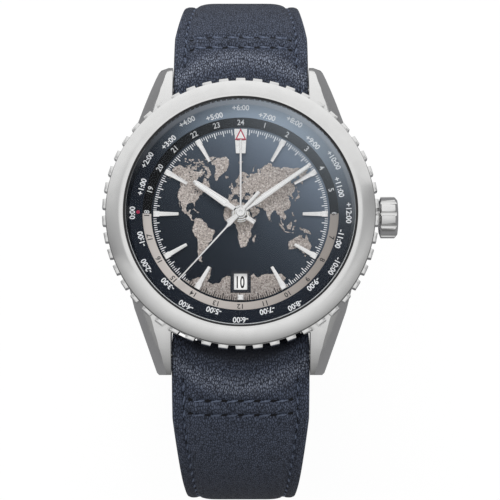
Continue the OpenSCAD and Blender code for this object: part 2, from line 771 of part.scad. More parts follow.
module ratchet_wheel() {
    color([0.75, 0.75, 0.76]) at(barrel_p, 0) {
        translate([0, 0, train_z + 0.08]) linear_extrude(0.25)
            polygon([for (i = [0:23], k = [[0, 1.65], [0.9, 1.9]]) polar(k[1], (i + k[0]) * 15)]);
        translate([0, 0, bridge_z + 0.05]) cylinder(r = arbor_r, h = drum_top + arbor_tip - bridge_z - 0.05);
    }
}

module escape_wheel() {
    color([0.85, 0.72, 0.4]) at(escape_p, 0) {
        translate([0, 0, layer[0]]) turned(gap_at(escape_at + 180, escape_pinion_n))
            linear_extrude(layer[1] + 0.1 - layer[0]) gear(escape_pinion_n, fourth_m);
        translate([0, 0, layer[1] + 0.05]) linear_extrude(wheel_t) difference() {
            polygon([for (i = [0:escape_n - 1], k = [[0, 1.45], [0.3, 1.85], [0.42, 1.85], [0.5, 1.45]])
                polar(k[1], (i + k[0]) * 360 / escape_n)]);
            difference() {
                circle(r = 1.2);
                circle(r = 0.45);
                for (a = [0:90:359]) rotate(a) translate([-0.12, 0]) square([0.24, 1.3]);
            }
        }
        translate([0, 0, bridge_z + 0.1]) cylinder(r = staff_r, h = plate_z + 0.4 - bridge_z - 0.1);
    }
}

fork_v = balance_p - escape_p;
fork_gap = norm(fork_v);
fork_a = atan2(fork_v[0], fork_v[1]);
fork_away = 2.45;
fork_p = escape_p + fork_away * fork_v / fork_gap;
roller_r = 0.3;

module pallet_fork() {
    reach = fork_gap - fork_away - roller_r - 0.25;
    color([0.7, 0.7, 0.72]) at(fork_p, 0) turned(fork_a) {
        translate([0, 0, layer[1] + 0.05]) linear_extrude(wheel_t) {
            circle(r = 0.35);
            polygon([[-0.15, 0], [-0.12, reach], [-0.3, reach + 0.12], [-0.14, reach + 0.12],
                [0, reach + 0.04], [0.14, reach + 0.12], [0.3, reach + 0.12], [0.12, reach], [0.15, 0]]);
            for (side = [-1, 1]) polygon([[0, 0.2], [side * 1.3, -0.35], [side * 1.45, -0.75],
                [side * 1.25, -0.75], [side * 1.1, -0.5], [0, -0.2]]);
        }
        translate([0, 0, bridge_z + 0.1]) cylinder(r = staff_r, h = layer[2] - bridge_z - 0.1);
    }
}

module balance_wheel() {
    color([0.85, 0.75, 0.45]) at(balance_p, 0) {
        translate([0, 0, layer[2] + 0.05]) linear_extrude(0.22) {
            difference() {
                circle(r = balance_r);
                circle(r = balance_r - 0.4);
            }
            for (a = [0, 120, 240]) rotate(a) translate([-0.15, 0]) square([0.3, balance_r - 0.2]);
            circle(r = 0.5);
        }
        translate([0, 0, layer[1] + 0.05]) cylinder(r = roller_r, h = 0.4);
        translate([0, 0, bridge_z + 0.1]) cylinder(r = staff_r, h = plate_z + 0.4 - bridge_z - 0.1);
    }
}

module hairspring() {
    step = 8;
    inner = 0.5;
    pitch = 0.22;
    count = hairspring_turns * 360 / step;
    function ring(i, w) = (inner + pitch * i * step / 360 + w) * [cos(i * step), sin(i * step)];
    color([0.3, 0.4, 0.65]) at(balance_p, layer[0] + 0.05) linear_extrude(0.12)
        polygon(concat([for (i = [0:count]) ring(i, 0.04)], [for (i = [count:-1:0]) ring(i, -0.04)]));
}

// Motion work on the dial side

cannon_n = 12;
minute_n = 36;
minute_pinion_n = 10;
hour_n = 40;
gmt_pinion_n = 8;
gmt_n = 64;
minute_m = 0.11;
minute_away = minute_m * (cannon_n + minute_n) / 2;
hour_m = 2 * minute_away / (minute_pinion_n + hour_n);
gmt_m = 2 * minute_away / (gmt_pinion_n + gmt_n);
minute_at = 35;
minute_p = polar(minute_away, minute_at);
recess_r = 5;
recess_h = 0.6;
work = [plate_top - recess_h + 0.04, plate_top - recess_h + 0.28, plate_top - recess_h + 0.52];
work_t = 0.16;

module cannon_pinion() {
    color([0.7, 0.7, 0.72]) difference() {
        union() {
            translate([0, 0, work[0]]) turned(gap_at(minute_at, cannon_n))
                linear_extrude(work_t + 0.03) gear(cannon_n, minute_m);
            translate([0, 0, work[0]]) cylinder(r = pipe_r[2], h = hand_z[2] + hand_t - work[0]);
        }
        translate([0, 0, work[0] - 1]) cylinder(r = seconds_r + run, h = 6);
    }
}

module minute_wheel() {
    color([0.85, 0.7, 0.35]) at(minute_p, 0) {
        translate([0, 0, work[0]]) turned(minute_at + 180) wheel(minute_n, minute_m, work_t, 0);
        translate([0, 0, work[0]]) turned(gap_at(minute_at + 180, minute_pinion_n))
            linear_extrude(work[1] + work_t - work[0]) gear(minute_pinion_n, hour_m);
        translate([0, 0, work[1]]) turned(gap_at(minute_at + 180, gmt_pinion_n))
            linear_extrude(work[2] + work_t - work[1]) gear(gmt_pinion_n, gmt_m);
        translate([0, 0, plate_top - recess_h - 0.3]) cylinder(r = staff_r, h = 0.4);
    }
}

module hour_wheel() {
    color([0.85, 0.7, 0.35]) difference() {
        union() {
            translate([0, 0, work[1]]) turned(minute_at) wheel(hour_n, hour_m, work_t, 0);
            translate([0, 0, work[1]]) cylinder(r = pipe_r[1], h = hand_z[1] + hand_t - work[1]);
        }
        translate([0, 0, work[1] - 1]) cylinder(r = pipe_r[2] + run, h = 6);
    }
}

module gmt_wheel() {
    color([0.85, 0.7, 0.35]) difference() {
        union() {
            translate([0, 0, work[2]]) turned(minute_at) wheel(gmt_n, gmt_m, work_t, 0);
            translate([0, 0, work[2]]) cylinder(r = pipe_r[0], h = hand_z[0] + hand_t - work[2]);
        }
        translate([0, 0, work[2] - 1]) cylinder(r = pipe_r[1] + run, h = 6);
    }
}

// Plate, bridges and what holds them

foot_r = plate_r - 1.6;
pinion_x = plate_r - 3;
screw_away = foot_r + 0.35;
screw_r = 0.45;
cock_at = 115;
screw_spots = [285, 345, 35, 210, 245, cock_at];
pivot_spots = [third_p, escape_p, fork_p, balance_p];
pivot_r = staff_r + run;

module casing_ring() {
    color([0.7, 0.7, 0.7]) difference() {
        translate([0, 0, plate_z]) tube(cavity_r - run, plate_r + run, dial_z - plate_z);
        on_stem() along_x(tube_r, plate_r - 1, case_r);
    }
}

module main_plate() {
    color([0.75, 0.74, 0.7]) difference() {
        translate([0, 0, plate_z]) cylinder(r = plate_r, h = plate_t);
        translate([0, 0, plate_top - recess_h]) cylinder(r = recess_r, h = recess_h + cut);
        at(barrel_p, plate_z - cut) cylinder(r = drum_r + drum_gap, h = drum_top - plate_z + cut);
        at(barrel_p, plate_z - cut) cylinder(r = arbor_r + run, h = drum_top + arbor_tip + 0.1 - plate_z);
        translate([0, 0, plate_z - cut]) cylinder(r = pipe_r[2] + run, h = plate_t);
        for (p = pivot_spots) at(p, plate_z - cut) cylinder(r = pivot_r, h = 0.5);
        at(minute_p, plate_top - recess_h - 0.4) cylinder(r = pivot_r, h = 1);
        on_stem() along_x(stem_d / 2 + run, stem_in - 0.3, plate_r + 1);
        on_stem() along_x(1.3, pinion_x - 0.15, pinion_x + pinion_l + 0.15);
    }
}

module sector(a0, a1, r) {
    polygon(concat([[0, 0]], [for (i = [0:8]) polar(r / cos((a1 - a0) / 16), a0 + (a1 - a0) * i / 8)]));
}

module bridge_hole(p, r) {
    at(p, bridge_z - cut) cylinder(r = r, h = plate_z - bridge_z + 2 * cut);
}

module bridge(a0, a1) {
    difference() {
        intersection() {
            union() {
                translate([0, 0, bridge_z]) cylinder(r = plate_r - 0.3, h = bridge_t);
                translate([0, 0, bridge_z]) tube(plate_r - 0.3, foot_r + 0.1, plate_z - bridge_z);
            }
            translate([0, 0, bridge_z - 1]) linear_extrude(train_h + bridge_t + 2) sector(a0, a1, plate_r);
        }
        for (p = pivot_spots) bridge_hole(p, jewel_r);
        bridge_hole([0, 0], pivot_r);
        bridge_hole(barrel_p, arbor_r + run);
        for (a = screw_spots) bridge_hole(polar(screw_away, a), screw_r);
        at([0, 0], bridge_z - cut) cylinder(r = bearing_r, h = bearing_in + cut);
    }
}

jewel_r = 0.6;
bearing_r = 1.5;
bearing_in = 0.2;

module barrel_bridge() {
    color([0.8, 0.8, 0.78]) bridge(272, 408);
}

module train_bridge() {
    color([0.79, 0.79, 0.77]) bridge(198, 271);
}

module balance_cock() {
    foot = polar(screw_away, cock_at);
    arm_a = atan2(foot[0] - balance_p[0], foot[1] - balance_p[1]);
    color([0.8, 0.8, 0.78]) difference() {
        union() {
            intersection() {
                at(balance_p, bridge_z) rotate(-arm_a) translate([-1.2, -0.6, 0])
                    cube([2.4, norm(foot - balance_p) + 0.6, bridge_t]);
                cylinder(r = plate_r - 0.3, h = big / 2);
            }
            for (p = [escape_p, fork_p]) at(p, bridge_z) cylinder(r = 1.1, h = bridge_t);
            at(escape_p, bridge_z) rotate(-fork_a) translate([-0.7, 0, 0]) cube([1.4, fork_gap, bridge_t]);
            at(balance_p, bridge_z) cylinder(r = 1.4, h = bridge_t);
            at(foot, bridge_z) cylinder(r = 1, h = plate_z - bridge_z);
        }
        for (p = [escape_p, fork_p, balance_p]) bridge_hole(p, jewel_r);
        bridge_hole(foot, screw_r);
    }
}

module bridge_screws() {
    color([0.35, 0.45, 0.7]) for (a = screw_spots) at(polar(screw_away, a), bridge_z) difference() {
        cylinder(r = screw_r - 0.01, h = plate_z - bridge_z);
        translate([-0.5, -0.06, -cut]) cube([1, 0.12, 0.15]);
    }
}

module jewels() {
    color([0.75, 0.1, 0.3]) for (p = pivot_spots) at(p, bridge_z) tube(jewel_r, pivot_r, bridge_t);
}

module rotor_bearing() {
    color([0.65, 0.65, 0.66]) translate([0, 0, rotor_z])
        cylinder(r = bearing_r, h = bridge_z + bearing_in - rotor_z);
}

module rotor() {
    web = 0.35;
    rim_w = 1.5;
    hub_w = 0.9;
    color([0.77, 0.77, 0.76]) difference() {
        union() {
            translate([0, 0, rotor_z]) linear_extrude(web) difference() {
                circle(r = rotor_r);
                translate([-big / 2, -big]) square([big, big]);
            }
            translate([0, 0, rotor_z]) linear_extrude(rotor_h) difference() {
                circle(r = rotor_r);
                circle(r = rotor_r - rim_w);
                translate([-big / 2, -big]) square([big, big]);
            }
            translate([0, 0, rotor_z]) cylinder(r = bearing_r + hub_w, h = web + 0.25);
        }
        translate([0, 0, rotor_z - cut]) cylinder(r = bearing_r + run, h = 2);
    }
}

// Strap

// Stretches of each half: length along the strap, then the angle that it turns down
shoulder_run = [[9.5, 34], [10.5, 16], [12, 30]];
shoulder_l = 32;
under_l = 52.4;
keeper_from = 5.2;
keeper_spare = 1.5;
flat_l = keeper_from + 2 * keeper_w + keeper_slide + keeper_spare;
under_turn = 75;
side_turn = 90;
tip_turn = 25;
short_run = concat(shoulder_run, [[short_l - shoulder_l - flat_l, side_turn], [flat_l, 0]]);
long_run = concat(shoulder_run, [[under_l, under_turn], [long_l - shoulder_l - under_l, tip_turn]]);
strap_dip = 10;
taper_from = 10;
taper_to = 50;
tip_l = 9;
ring_gap = 1.9;
strap_start = 1;

function walk(run_list, s, at = [bar_y, bar_z], a = strap_dip, i = 0) =
    let(l = run_list[i][0], turn = run_list[i][1], part = min(s, l), b = a + turn * part / l,
        step = turn == 0 ? part * [cos(a), -sin(a)]
            : l * 180 / (PI * turn) * [sin(b) - sin(a), cos(b) - cos(a)])
    s <= l || i == len(run_list) - 1 ? [at + step, b] : walk(run_list, s - l, at + step, b, i + 1);

function half_w(s, l, pointed) =
    let(t = max(0, min(1, (s - taper_from) / (taper_to - taper_from))),
        w = (strap_w + (strap_end_w - strap_w) * sin(90 * t)) / 2,
        u = max(0, (s - l + tip_l) / (tip_l + 0.3)))
    pointed ? w * sqrt(1 - u * u) : w;

function pad_at(s) = pad_h * min(1, 0.5 + s / 9) * max(0, min(1, 1.2 - s / 40));

function strap_section(w, pad) =
    let(t = strap_t / 2, c = min(0.5, w / 4), e = min(edge_w, w / 3), m = min(edge_w * 2.2, w * 0.55))
    [[-w + c, -t], [w - c, -t], [w, -t + c], [w, t - c], [w - c, t], [w - e, t], [w - m, t + pad * 0.8],
        [w * 0.3, t + pad], [-w * 0.3, t + pad], [-w + m, t + pad * 0.8], [-w + e, t], [-w + c, t],
        [-w, t - c], [-w, -t + c]];

module strap_body(run_list, l, from, to, pointed) {
    rings = ceil((to - from) / ring_gap);
    stops = [for (i = [0:rings]) from + (to - from) * i / rings];
    sections = [for (s = stops) strap_section(half_w(s, l, pointed), pad_at(s))];
    m = len(sections[0]);
    points = [for (i = [0:rings]) let(w = walk(run_list, stops[i])) for (p = sections[i])
        [p[0], w[0][0] + p[1] * sin(w[1]), w[0][1] + p[1] * cos(w[1])]];
    sides = [for (i = [0:rings - 1], j = [0:m - 1]) let(k = (j + 1) % m)
        each [[i * m + j, i * m + k, (i + 1) * m + j], [i * m + k, (i + 1) * m + k, (i + 1) * m + j]]];
    polyhedron(points, concat([[for (j = [m - 1:-1:0]) j]], sides, [[for (j = [0:m - 1]) rings * m + j]]),
        convexity = 6);
}

short_tip = walk(short_run, short_l)[0];
end_w = half_w(short_l, short_l, false);
end_r = strap_t / 2;
slot_w = tongue_w + 0.6;
slot_l = 4.2;
hole_from_tip = 24;

module strap_12() {
    color([0.12, 0.15, 0.24]) difference() {
        union() {
            at_bar(1) along_x(loop_r, -strap_w / 2, strap_w / 2);
            strap_body(short_run, short_l, strap_start, short_l - 0.2, false);
            translate([0, short_tip[0], short_tip[1]]) along_x(end_r, -end_w, end_w);
        }
        at_bar(1) along_x(bar_d / 2 + run, -lug_gap, lug_gap);
        translate([0, short_tip[0], short_tip[1]]) along_x(buckle_bar_d / 2 + run, -lug_gap, lug_gap);
        translate([-slot_w / 2, short_tip[0] - end_r - 1, short_tip[1] - big / 2])
            cube([slot_w, slot_l + end_r + 1, big]);
    }
}

module strap_6() {
    color([0.12, 0.15, 0.24]) mirror([0, 1, 0]) difference() {
        union() {
            at_bar(1) along_x(loop_r, -strap_w / 2, strap_w / 2);
            strap_body(long_run, long_l, strap_start, long_l, true);
        }
        at_bar(1) along_x(bar_d / 2 + run, -lug_gap, lug_gap);
        for (i = [0:hole_n - 1]) let(w = walk(long_run, long_l - hole_from_tip - i * hole_step))
            translate([0, w[0][0], w[0][1]]) rotate([-w[1], 0, 0])
                translate([0, 0, -strap_t]) cylinder(d = hole_d, h = 2 * strap_t + pad_h);
    }
}

// Keepers and buckle, placed from the bar at the end of the 12 o'clock half

keeper_hole_w = strap_end_w + 0.5;
keeper_hole_h = 2 * strap_t + 0.5;
fixed_keeper_y = short_tip[0] + keeper_from;
sliding_keeper_y = fixed_keeper_y + keeper_w + 0.5;

module rounded(w, h, r) {
    for (x = [-1, 1], y = [-1, 1]) translate([x * (w / 2 - r), y * (h / 2 - r)]) circle(r = r);
    square([w - 2 * r, h], center = true);
    square([w, h - 2 * r], center = true);
}

module keeper(y, w, h, above) {
    top = short_tip[1] + strap_t / 2 + above;
    color([0.12, 0.15, 0.24]) translate([0, y + keeper_w, top - h / 2]) rotate([90, 0, 0])
        linear_extrude(keeper_w) difference() {
            rounded(w + 2 * keeper_t, h + 2 * keeper_t, 1);
            rounded(w, h, 0.4);
        }
}

module fixed_keeper() {
    keeper(fixed_keeper_y, keeper_hole_w, keeper_hole_h, 0);
}

module sliding_keeper() {
    keeper(sliding_keeper_y, keeper_hole_w, keeper_hole_h, 0.25);
}

arm_in = strap_end_w / 2 + 0.2;
arm_out = arm_in + buckle_arm;
front_drop = 0.7;

module at_buckle() {
    translate([0, short_tip[0], short_tip[1]]) children();
}

module buckle_side() {
    eye_r = buckle_bar_d / 2 + 0.8;
    arm_h = 1.1;
    arch = 0.15;
    middle = -buckle_l / 2;
    circle(r = eye_r);
    translate([-buckle_l, -front_drop]) circle(d = buckle_front_d);
    polygon([[0, arm_h], [middle, arm_h - arch], [-buckle_l, buckle_front_d / 2 - front_drop],
        [-buckle_l, -buckle_front_d / 2 - front_drop], [middle, -arm_h - 1.3 * arch], [0, -arm_h]]);
}

module buckle_frame() {
    color([0.8, 0.8, 0.79]) at_buckle() difference() {
        union() {
            for (x = [-arm_out, arm_in]) translate([x, 0, 0]) rotate([90, 0, 90])
                linear_extrude(buckle_arm) buckle_side();
            translate([0, -buckle_l, -front_drop]) along_x(buckle_front_d / 2, -arm_out, arm_out);
        }
        along_x(buckle_bar_d / 2, -arm_out - 1, arm_out + 1);
    }
}

module buckle_bar() {
    color([0.7, 0.7, 0.7]) at_buckle() along_x(buckle_bar_d / 2, -arm_out + 0.2, arm_out - 0.2);
}

module buckle_tongue() {
    low = -front_drop - buckle_front_d / 2 - 0.05;
    ring = buckle_bar_d / 2 + run + 0.5;
    color([0.8, 0.8, 0.79]) at_buckle() rotate([90, 0, 90]) translate([0, 0, -tongue_w / 2])
        linear_extrude(tongue_w) difference() {
            union() {
                circle(r = ring);
                polygon([[0, -ring], [-buckle_l * 0.45, low + 0.25], [-buckle_l - 0.9, low],
                    [-buckle_l - 1.5, low - 0.45], [-buckle_l - 0.9, low - 0.8],
                    [-buckle_l * 0.45, low - 0.6], [0, -ring - 0.7], [ring * 0.7, -ring * 0.7]]);
            }
            circle(r = buckle_bar_d / 2 + run);
        }
}

case_middle();
case_back();
back_window();
back_gasket();
crown_tube();
spring_bars();
bezel_gasket();
click_spring();
bezel();
crystal();
crystal_gasket();
city_ring();
hour_24_ring();
dial();
world_map();
hour_markers();
date_frame();
date_disc();
hour_hand();
minute_hand();
second_hand();
gmt_hand();
crown();
crown_gasket();
winding_stem();
winding_pinion();
casing_ring();
main_plate();
barrel_bridge();
train_bridge();
balance_cock();
bridge_screws();
jewels();
barrel();
ratchet_wheel();
centre_wheel();
third_wheel();
fourth_wheel();
escape_wheel();
pallet_fork();
balance_wheel();
hairspring();
cannon_pinion();
minute_wheel();
hour_wheel();
gmt_wheel();
rotor();
rotor_bearing();
strap_12();
strap_6();
fixed_keeper();
sliding_keeper();
buckle_frame();
buckle_bar();
buckle_tongue();
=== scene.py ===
import bpy, bmesh, math, random
from mathutils import Matrix, Vector


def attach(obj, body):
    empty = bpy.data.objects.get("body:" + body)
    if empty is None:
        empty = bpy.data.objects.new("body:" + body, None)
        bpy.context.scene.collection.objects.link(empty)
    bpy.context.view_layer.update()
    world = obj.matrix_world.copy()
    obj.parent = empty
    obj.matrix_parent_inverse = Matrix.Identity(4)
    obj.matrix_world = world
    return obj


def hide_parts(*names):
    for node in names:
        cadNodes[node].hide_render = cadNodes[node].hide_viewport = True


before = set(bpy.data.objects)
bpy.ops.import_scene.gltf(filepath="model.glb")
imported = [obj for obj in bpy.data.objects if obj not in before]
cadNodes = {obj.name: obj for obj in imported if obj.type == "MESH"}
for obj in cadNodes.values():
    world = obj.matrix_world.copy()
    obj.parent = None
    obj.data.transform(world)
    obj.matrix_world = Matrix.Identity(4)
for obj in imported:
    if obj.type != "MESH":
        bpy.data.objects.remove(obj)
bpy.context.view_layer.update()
print("frame loaded:", len(cadNodes), "nodes")

# Camera at the angle of the photograph: over the dial, leaning towards 6 o'clock
cameraSettings = {"tilt": 10.5, "distance": 320, "lens": 157.4, "aimX": 1.38, "aimUp": -5.71, "planeZ": 9.6}


def placeCamera(s):
    tilt = math.radians(s["tilt"])
    back = Vector((0, -math.sin(tilt), math.cos(tilt)))
    up = Vector((0, math.cos(tilt), math.sin(tilt)))
    aim = Vector((s["aimX"], 0, s["planeZ"])) + up * s["aimUp"]
    camera = bpy.data.cameras.new("camera")
    camera.sensor_width = 36
    camera.lens = s["lens"]
    camera.clip_start = 0.01
    camera.clip_end = 10
    holder = bpy.data.objects.new("camera", camera)
    place = Matrix.Translation((aim + back * s["distance"]) * 0.001)
    holder.matrix_world = place @ Matrix.Rotation(tilt, 4, "X")
    bpy.context.scene.collection.objects.link(holder)
    bpy.context.scene.camera = holder


placeCamera(cameraSettings)


# Node helpers: a value is set, an output socket is linked
def addNode(tree, kind, props=None, ins=None):
    node = tree.nodes.new(kind)
    for key, value in (props or {}).items():
        setattr(node, key, value)
    for key, value in (ins or {}).items():
        socket = node.inputs[key]
        if isinstance(value, bpy.types.NodeSocket):
            tree.links.new(value, socket)
        else:
            socket.default_value = value
    return node


def calc(tree, operation, a, b=0.0, clamp=False):
    return addNode(tree, "ShaderNodeMath", {"operation": operation, "use_clamp": clamp}, {0: a, 1: b}).outputs[0]


def rangeOf(tree, value, low, high, toLow=0.0, toHigh=1.0, smooth=False):
    props = {"clamp": True, "interpolation_type": "SMOOTHSTEP" if smooth else "LINEAR"}
    ends = {"Value": value, "From Min": low, "From Max": high, "To Min": toLow, "To Max": toHigh}
    return addNode(tree, "ShaderNodeMapRange", props, ends).outputs[0]


def blendValue(tree, mask, low, high):
    return rangeOf(tree, mask, 0.0, 1.0, low, high)


def blendColour(tree, mask, first, second):
    mix = addNode(tree, "ShaderNodeMix", {"data_type": "RGBA"}, {0: mask})
    for index, value in ((6, first), (7, second)):
        if isinstance(value, bpy.types.NodeSocket):
            tree.links.new(value, mix.inputs[index])
        else:
            mix.inputs[index].default_value = (*value, 1)
    return mix.outputs[2]


def mixShaders(tree, mask, first, second):
    return addNode(tree, "ShaderNodeMixShader", None, {0: mask, 1: first.outputs[0], 2: second.outputs[0]})


def noiseOf(tree, vector, scale, detail, **more):
    ins = {"Vector": vector, "Scale": scale, "Detail": detail, **more}
    return addNode(tree, "ShaderNodeTexNoise", None, ins).outputs


def axesOf(tree, vector):
    return addNode(tree, "ShaderNodeSeparateXYZ", None, {0: vector}).outputs


def stretchOf(tree, vector, scale):
    return addNode(tree, "ShaderNodeMapping", None, {"Vector": vector, "Scale": scale}).outputs[0]


def srgb(red, green, blue):
    return tuple(((v / 255 + 0.055) / 1.055) ** 2.4 if v > 10 else v / 255 / 12.92 for v in (red, green, blue))


# Light: a plain studio whose reflections fade towards the wearer, one soft key light from 12 o'clock
lightSettings = {"zenith": 0.89, "climb": 1.3, "diffuse": (0.29, 0.93),
                 "horizon": [(-1.0, 0.14), (-0.25, 0.3), (0.1, 0.44), (0.6, 0.82), (1.0, 0.95)],
                 "gaps": [(0.22, 0.2, 1), (0.3, 0.12, -1)], "gapEdge": (0.0, 0.02), "gapFade": (0.5, 0.05),
                 "gapReach": (0.22, 0.34), "gapColour": (0.1, 0.1, 0.105), "gapDark": 0.5,
                 "keyPlace": (-30, 170, 230), "keySize": 150, "keyPower": 0.16}


def panelGap(s, tree, axes, slope, rise, side):
    # sharp along a slanted line and fading away from it; side is 1 for the right gap and -1 for the left
    line = calc(tree, "ADD", calc(tree, "MULTIPLY", axes[0], slope), rise)
    edge = calc(tree, "SUBTRACT", *((line, axes[1]) if side > 0 else (axes[1], line)))
    gap = calc(tree, "MULTIPLY", rangeOf(tree, edge, *s["gapEdge"]), rangeOf(tree, edge, *s["gapFade"], smooth=True))
    near, far = s["gapReach"]
    return calc(tree, "MULTIPLY", gap, rangeOf(tree, axes[0], near * side, far * side, smooth=True))


def lightStudio(s):
    world = bpy.data.worlds.new("studio")
    bpy.context.scene.world = world
    world.use_nodes = True
    tree = world.node_tree
    tree.nodes.clear()
    path = addNode(tree, "ShaderNodeLightPath").outputs
    axes = axesOf(tree, addNode(tree, "ShaderNodeTexCoord").outputs["Generated"])
    side = rangeOf(tree, axes[1], -1.0, 1.0)
    ramp = addNode(tree, "ShaderNodeValToRGB", None, {0: side})
    ramp.color_ramp.interpolation = "EASE"
    while len(ramp.color_ramp.elements) < len(s["horizon"]):
        ramp.color_ramp.elements.new(0.5)
    for stop, (place, level) in zip(ramp.color_ramp.elements, s["horizon"]):
        stop.position = (place + 1) / 2
        stop.color = (level, level, level, 1)
    above = calc(tree, "SUBTRACT", 1.0, calc(tree, "DIVIDE", calc(tree, "ARCCOSINE", axes[2]), math.pi / 2))
    height = calc(tree, "POWER", calc(tree, "MAXIMUM", above, 0.0), s["climb"])
    level = blendColour(tree, height, ramp.outputs[0], (s["zenith"],) * 3)
    # two long dark gaps between the panels, seen as the grey ends of the bezel's bright arcs
    gaps = calc(tree, "ADD", *[panelGap(s, tree, axes, *gap) for gap in s["gaps"]], clamp=True)
    level = blendColour(tree, calc(tree, "MULTIPLY", gaps, s["gapDark"]), level, s["gapColour"])
    diffuse, glossy, white = [
        addNode(tree, "ShaderNodeBackground", None, {"Color": colour, "Strength": strength}) for colour, strength in
        (((1, 1, 1, 1), blendValue(tree, side, *s["diffuse"])), (level, 1.0), ((1, 1, 1, 1), 1.0))]
    plain = calc(tree, "MAXIMUM", path["Is Camera Ray"], path["Is Transmission Ray"])
    shown = mixShaders(tree, plain, mixShaders(tree, path["Is Glossy Ray"], diffuse, glossy), white)
    addNode(tree, "ShaderNodeOutputWorld", None, {"Surface": shown.outputs[0]})
    key = bpy.data.lights.new("key", "AREA")
    key.shape = "DISK"
    key.size = s["keySize"] * 0.001
    key.energy = s["keyPower"]
    lamp = bpy.data.objects.new("key", key)
    place = Vector(s["keyPlace"]) * 0.001
    turn = (place - Vector((0, 0, 0.005))).to_track_quat("Z", "Y").to_matrix().to_4x4()
    lamp.matrix_world = Matrix.Translation(place) @ turn
    lamp.visible_glossy = False
    bpy.context.scene.collection.objects.link(lamp)


lightStudio(lightSettings)
bpy.context.scene.view_settings.view_transform = "Standard"
print("camera and light ready")


# Shared node groups: each takes a place and plain values, and gives a mask and usually a height
def startGroup(name, outs, **ins):
    group = bpy.data.node_groups.new(name, "ShaderNodeTree")
    group.interface.new_socket(name="Vector", in_out="INPUT", socket_type="NodeSocketVector")
    for label, value in ins.items():
        socket = group.interface.new_socket(name=label, in_out="INPUT", socket_type="NodeSocketFloat")
        socket.default_value = value
    for label in outs:
        group.interface.new_socket(name=label, in_out="OUTPUT", socket_type="NodeSocketFloat")
    return group, group.nodes.new("NodeGroupInput").outputs, group.nodes.new("NodeGroupOutput").inputs


def makeSmudge():
    # soft uneven patches and fine specks, for handled metal, paint and rubber
    group, ins, outs = startGroup("smudge", ("Mask", "Height"), Scale=900.0)
    big = noiseOf(group, ins["Vector"], ins["Scale"], 4.0)
    small = noiseOf(group, ins["Vector"], calc(group, "MULTIPLY", ins["Scale"], 9.0), 3.0)
    group.links.new(rangeOf(group, big[0], 0.35, 0.65), outs["Mask"])
    group.links.new(small[0], outs["Height"])
    return group


def makeBrushed():
    # fine lines along the chosen axis of the incoming vector (squeezed by a Mapping node before it)
    group, ins, outs = startGroup("brushed", ("Mask", "Height"), Scale=4000.0)
    lines = noiseOf(group, ins["Vector"], ins["Scale"], 5.0, Roughness=0.65)
    group.links.new(rangeOf(group, lines[0], 0.3, 0.7), outs["Mask"])
    group.links.new(lines[0], outs["Height"])
    return group


def makeGrain():
    # pebbled hide: cells with dark creases, broken up by noise
    group, ins, outs = startGroup("hideGrain", ("Mask", "Height"), Cells=2100.0)
    wobble = noiseOf(group, ins["Vector"], calc(group, "MULTIPLY", ins["Cells"], 0.8), 2.0)["Color"]
    offset = addNode(group, "ShaderNodeVectorMath", {"operation": "SCALE"}, {0: wobble, "Scale": 0.0003})
    moved = addNode(group, "ShaderNodeVectorMath", {"operation": "ADD"}, {0: ins["Vector"], 1: offset.outputs[0]})
    cells = addNode(group, "ShaderNodeTexVoronoi", {"feature": "DISTANCE_TO_EDGE"},
                    {"Vector": moved.outputs[0], "Scale": ins["Cells"]})
    pebble = rangeOf(group, cells.outputs["Distance"], 0.0, 0.22, smooth=True)
    fine = noiseOf(group, ins["Vector"], calc(group, "MULTIPLY", ins["Cells"], 4.0), 3.0)
    group.links.new(pebble, outs["Mask"])
    group.links.new(calc(group, "ADD", pebble, calc(group, "MULTIPLY", fine[0], 0.35)), outs["Height"])
    return group


smudge = makeSmudge()
brushed = makeBrushed()
hideGrain = makeGrain()


# A finish: plain values sit on the shader, patterns come from the groups
def startFinish(name, plain):
    material = bpy.data.materials.new(name)
    material.use_nodes = True
    tree = material.node_tree
    shader = tree.nodes["Principled BSDF"]
    for key, value in plain.items():
        shader.inputs[key].default_value = (*value, 1) if isinstance(value, tuple) else value
    return material, tree, shader, addNode(tree, "ShaderNodeTexCoord").outputs["Object"]


def useGroup(tree, group, vector, scale=None):
    node = addNode(tree, "ShaderNodeGroup", {"node_tree": group}, {"Vector": vector})
    if scale is not None:
        node.inputs[1].default_value = scale
    return node


def dressShader(tree, shader, base, mask, rough, height, bump):
    uneven = addNode(tree, "ShaderNodeBump", None, {"Height": height, "Distance": bump, "Strength": 1.0})
    tree.links.new(base, shader.inputs["Base Color"])
    tree.links.new(blendValue(tree, mask, *rough), shader.inputs["Roughness"])
    tree.links.new(uneven.outputs[0], shader.inputs["Normal"])


def paintFinish(name, colour, second, rough, scale=2500.0, bump=0.000004, plain=None, squeeze=None):
    material, tree, shader, coords = startFinish(name, {"Metallic": 0.0, **(plain or {})})
    if squeeze:
        coords = stretchOf(tree, coords, squeeze)
    mask, height = useGroup(tree, brushed if squeeze else smudge, coords, scale).outputs
    dressShader(tree, shader, blendColour(tree, mask, colour, second), mask, rough, height, bump)
    return material


def metalFinish(name, colour, second, rough, scale, bump, squeeze=None):
    return paintFinish(name, colour, second, rough, scale, bump, {"Metallic": 1.0}, squeeze)


# an emission that makes a part glow though it is no lamp: painted light
def glow(strength, colour=(0.9, 0.9, 0.9)):
    return {"Emission Color": colour, "Emission Strength": strength}


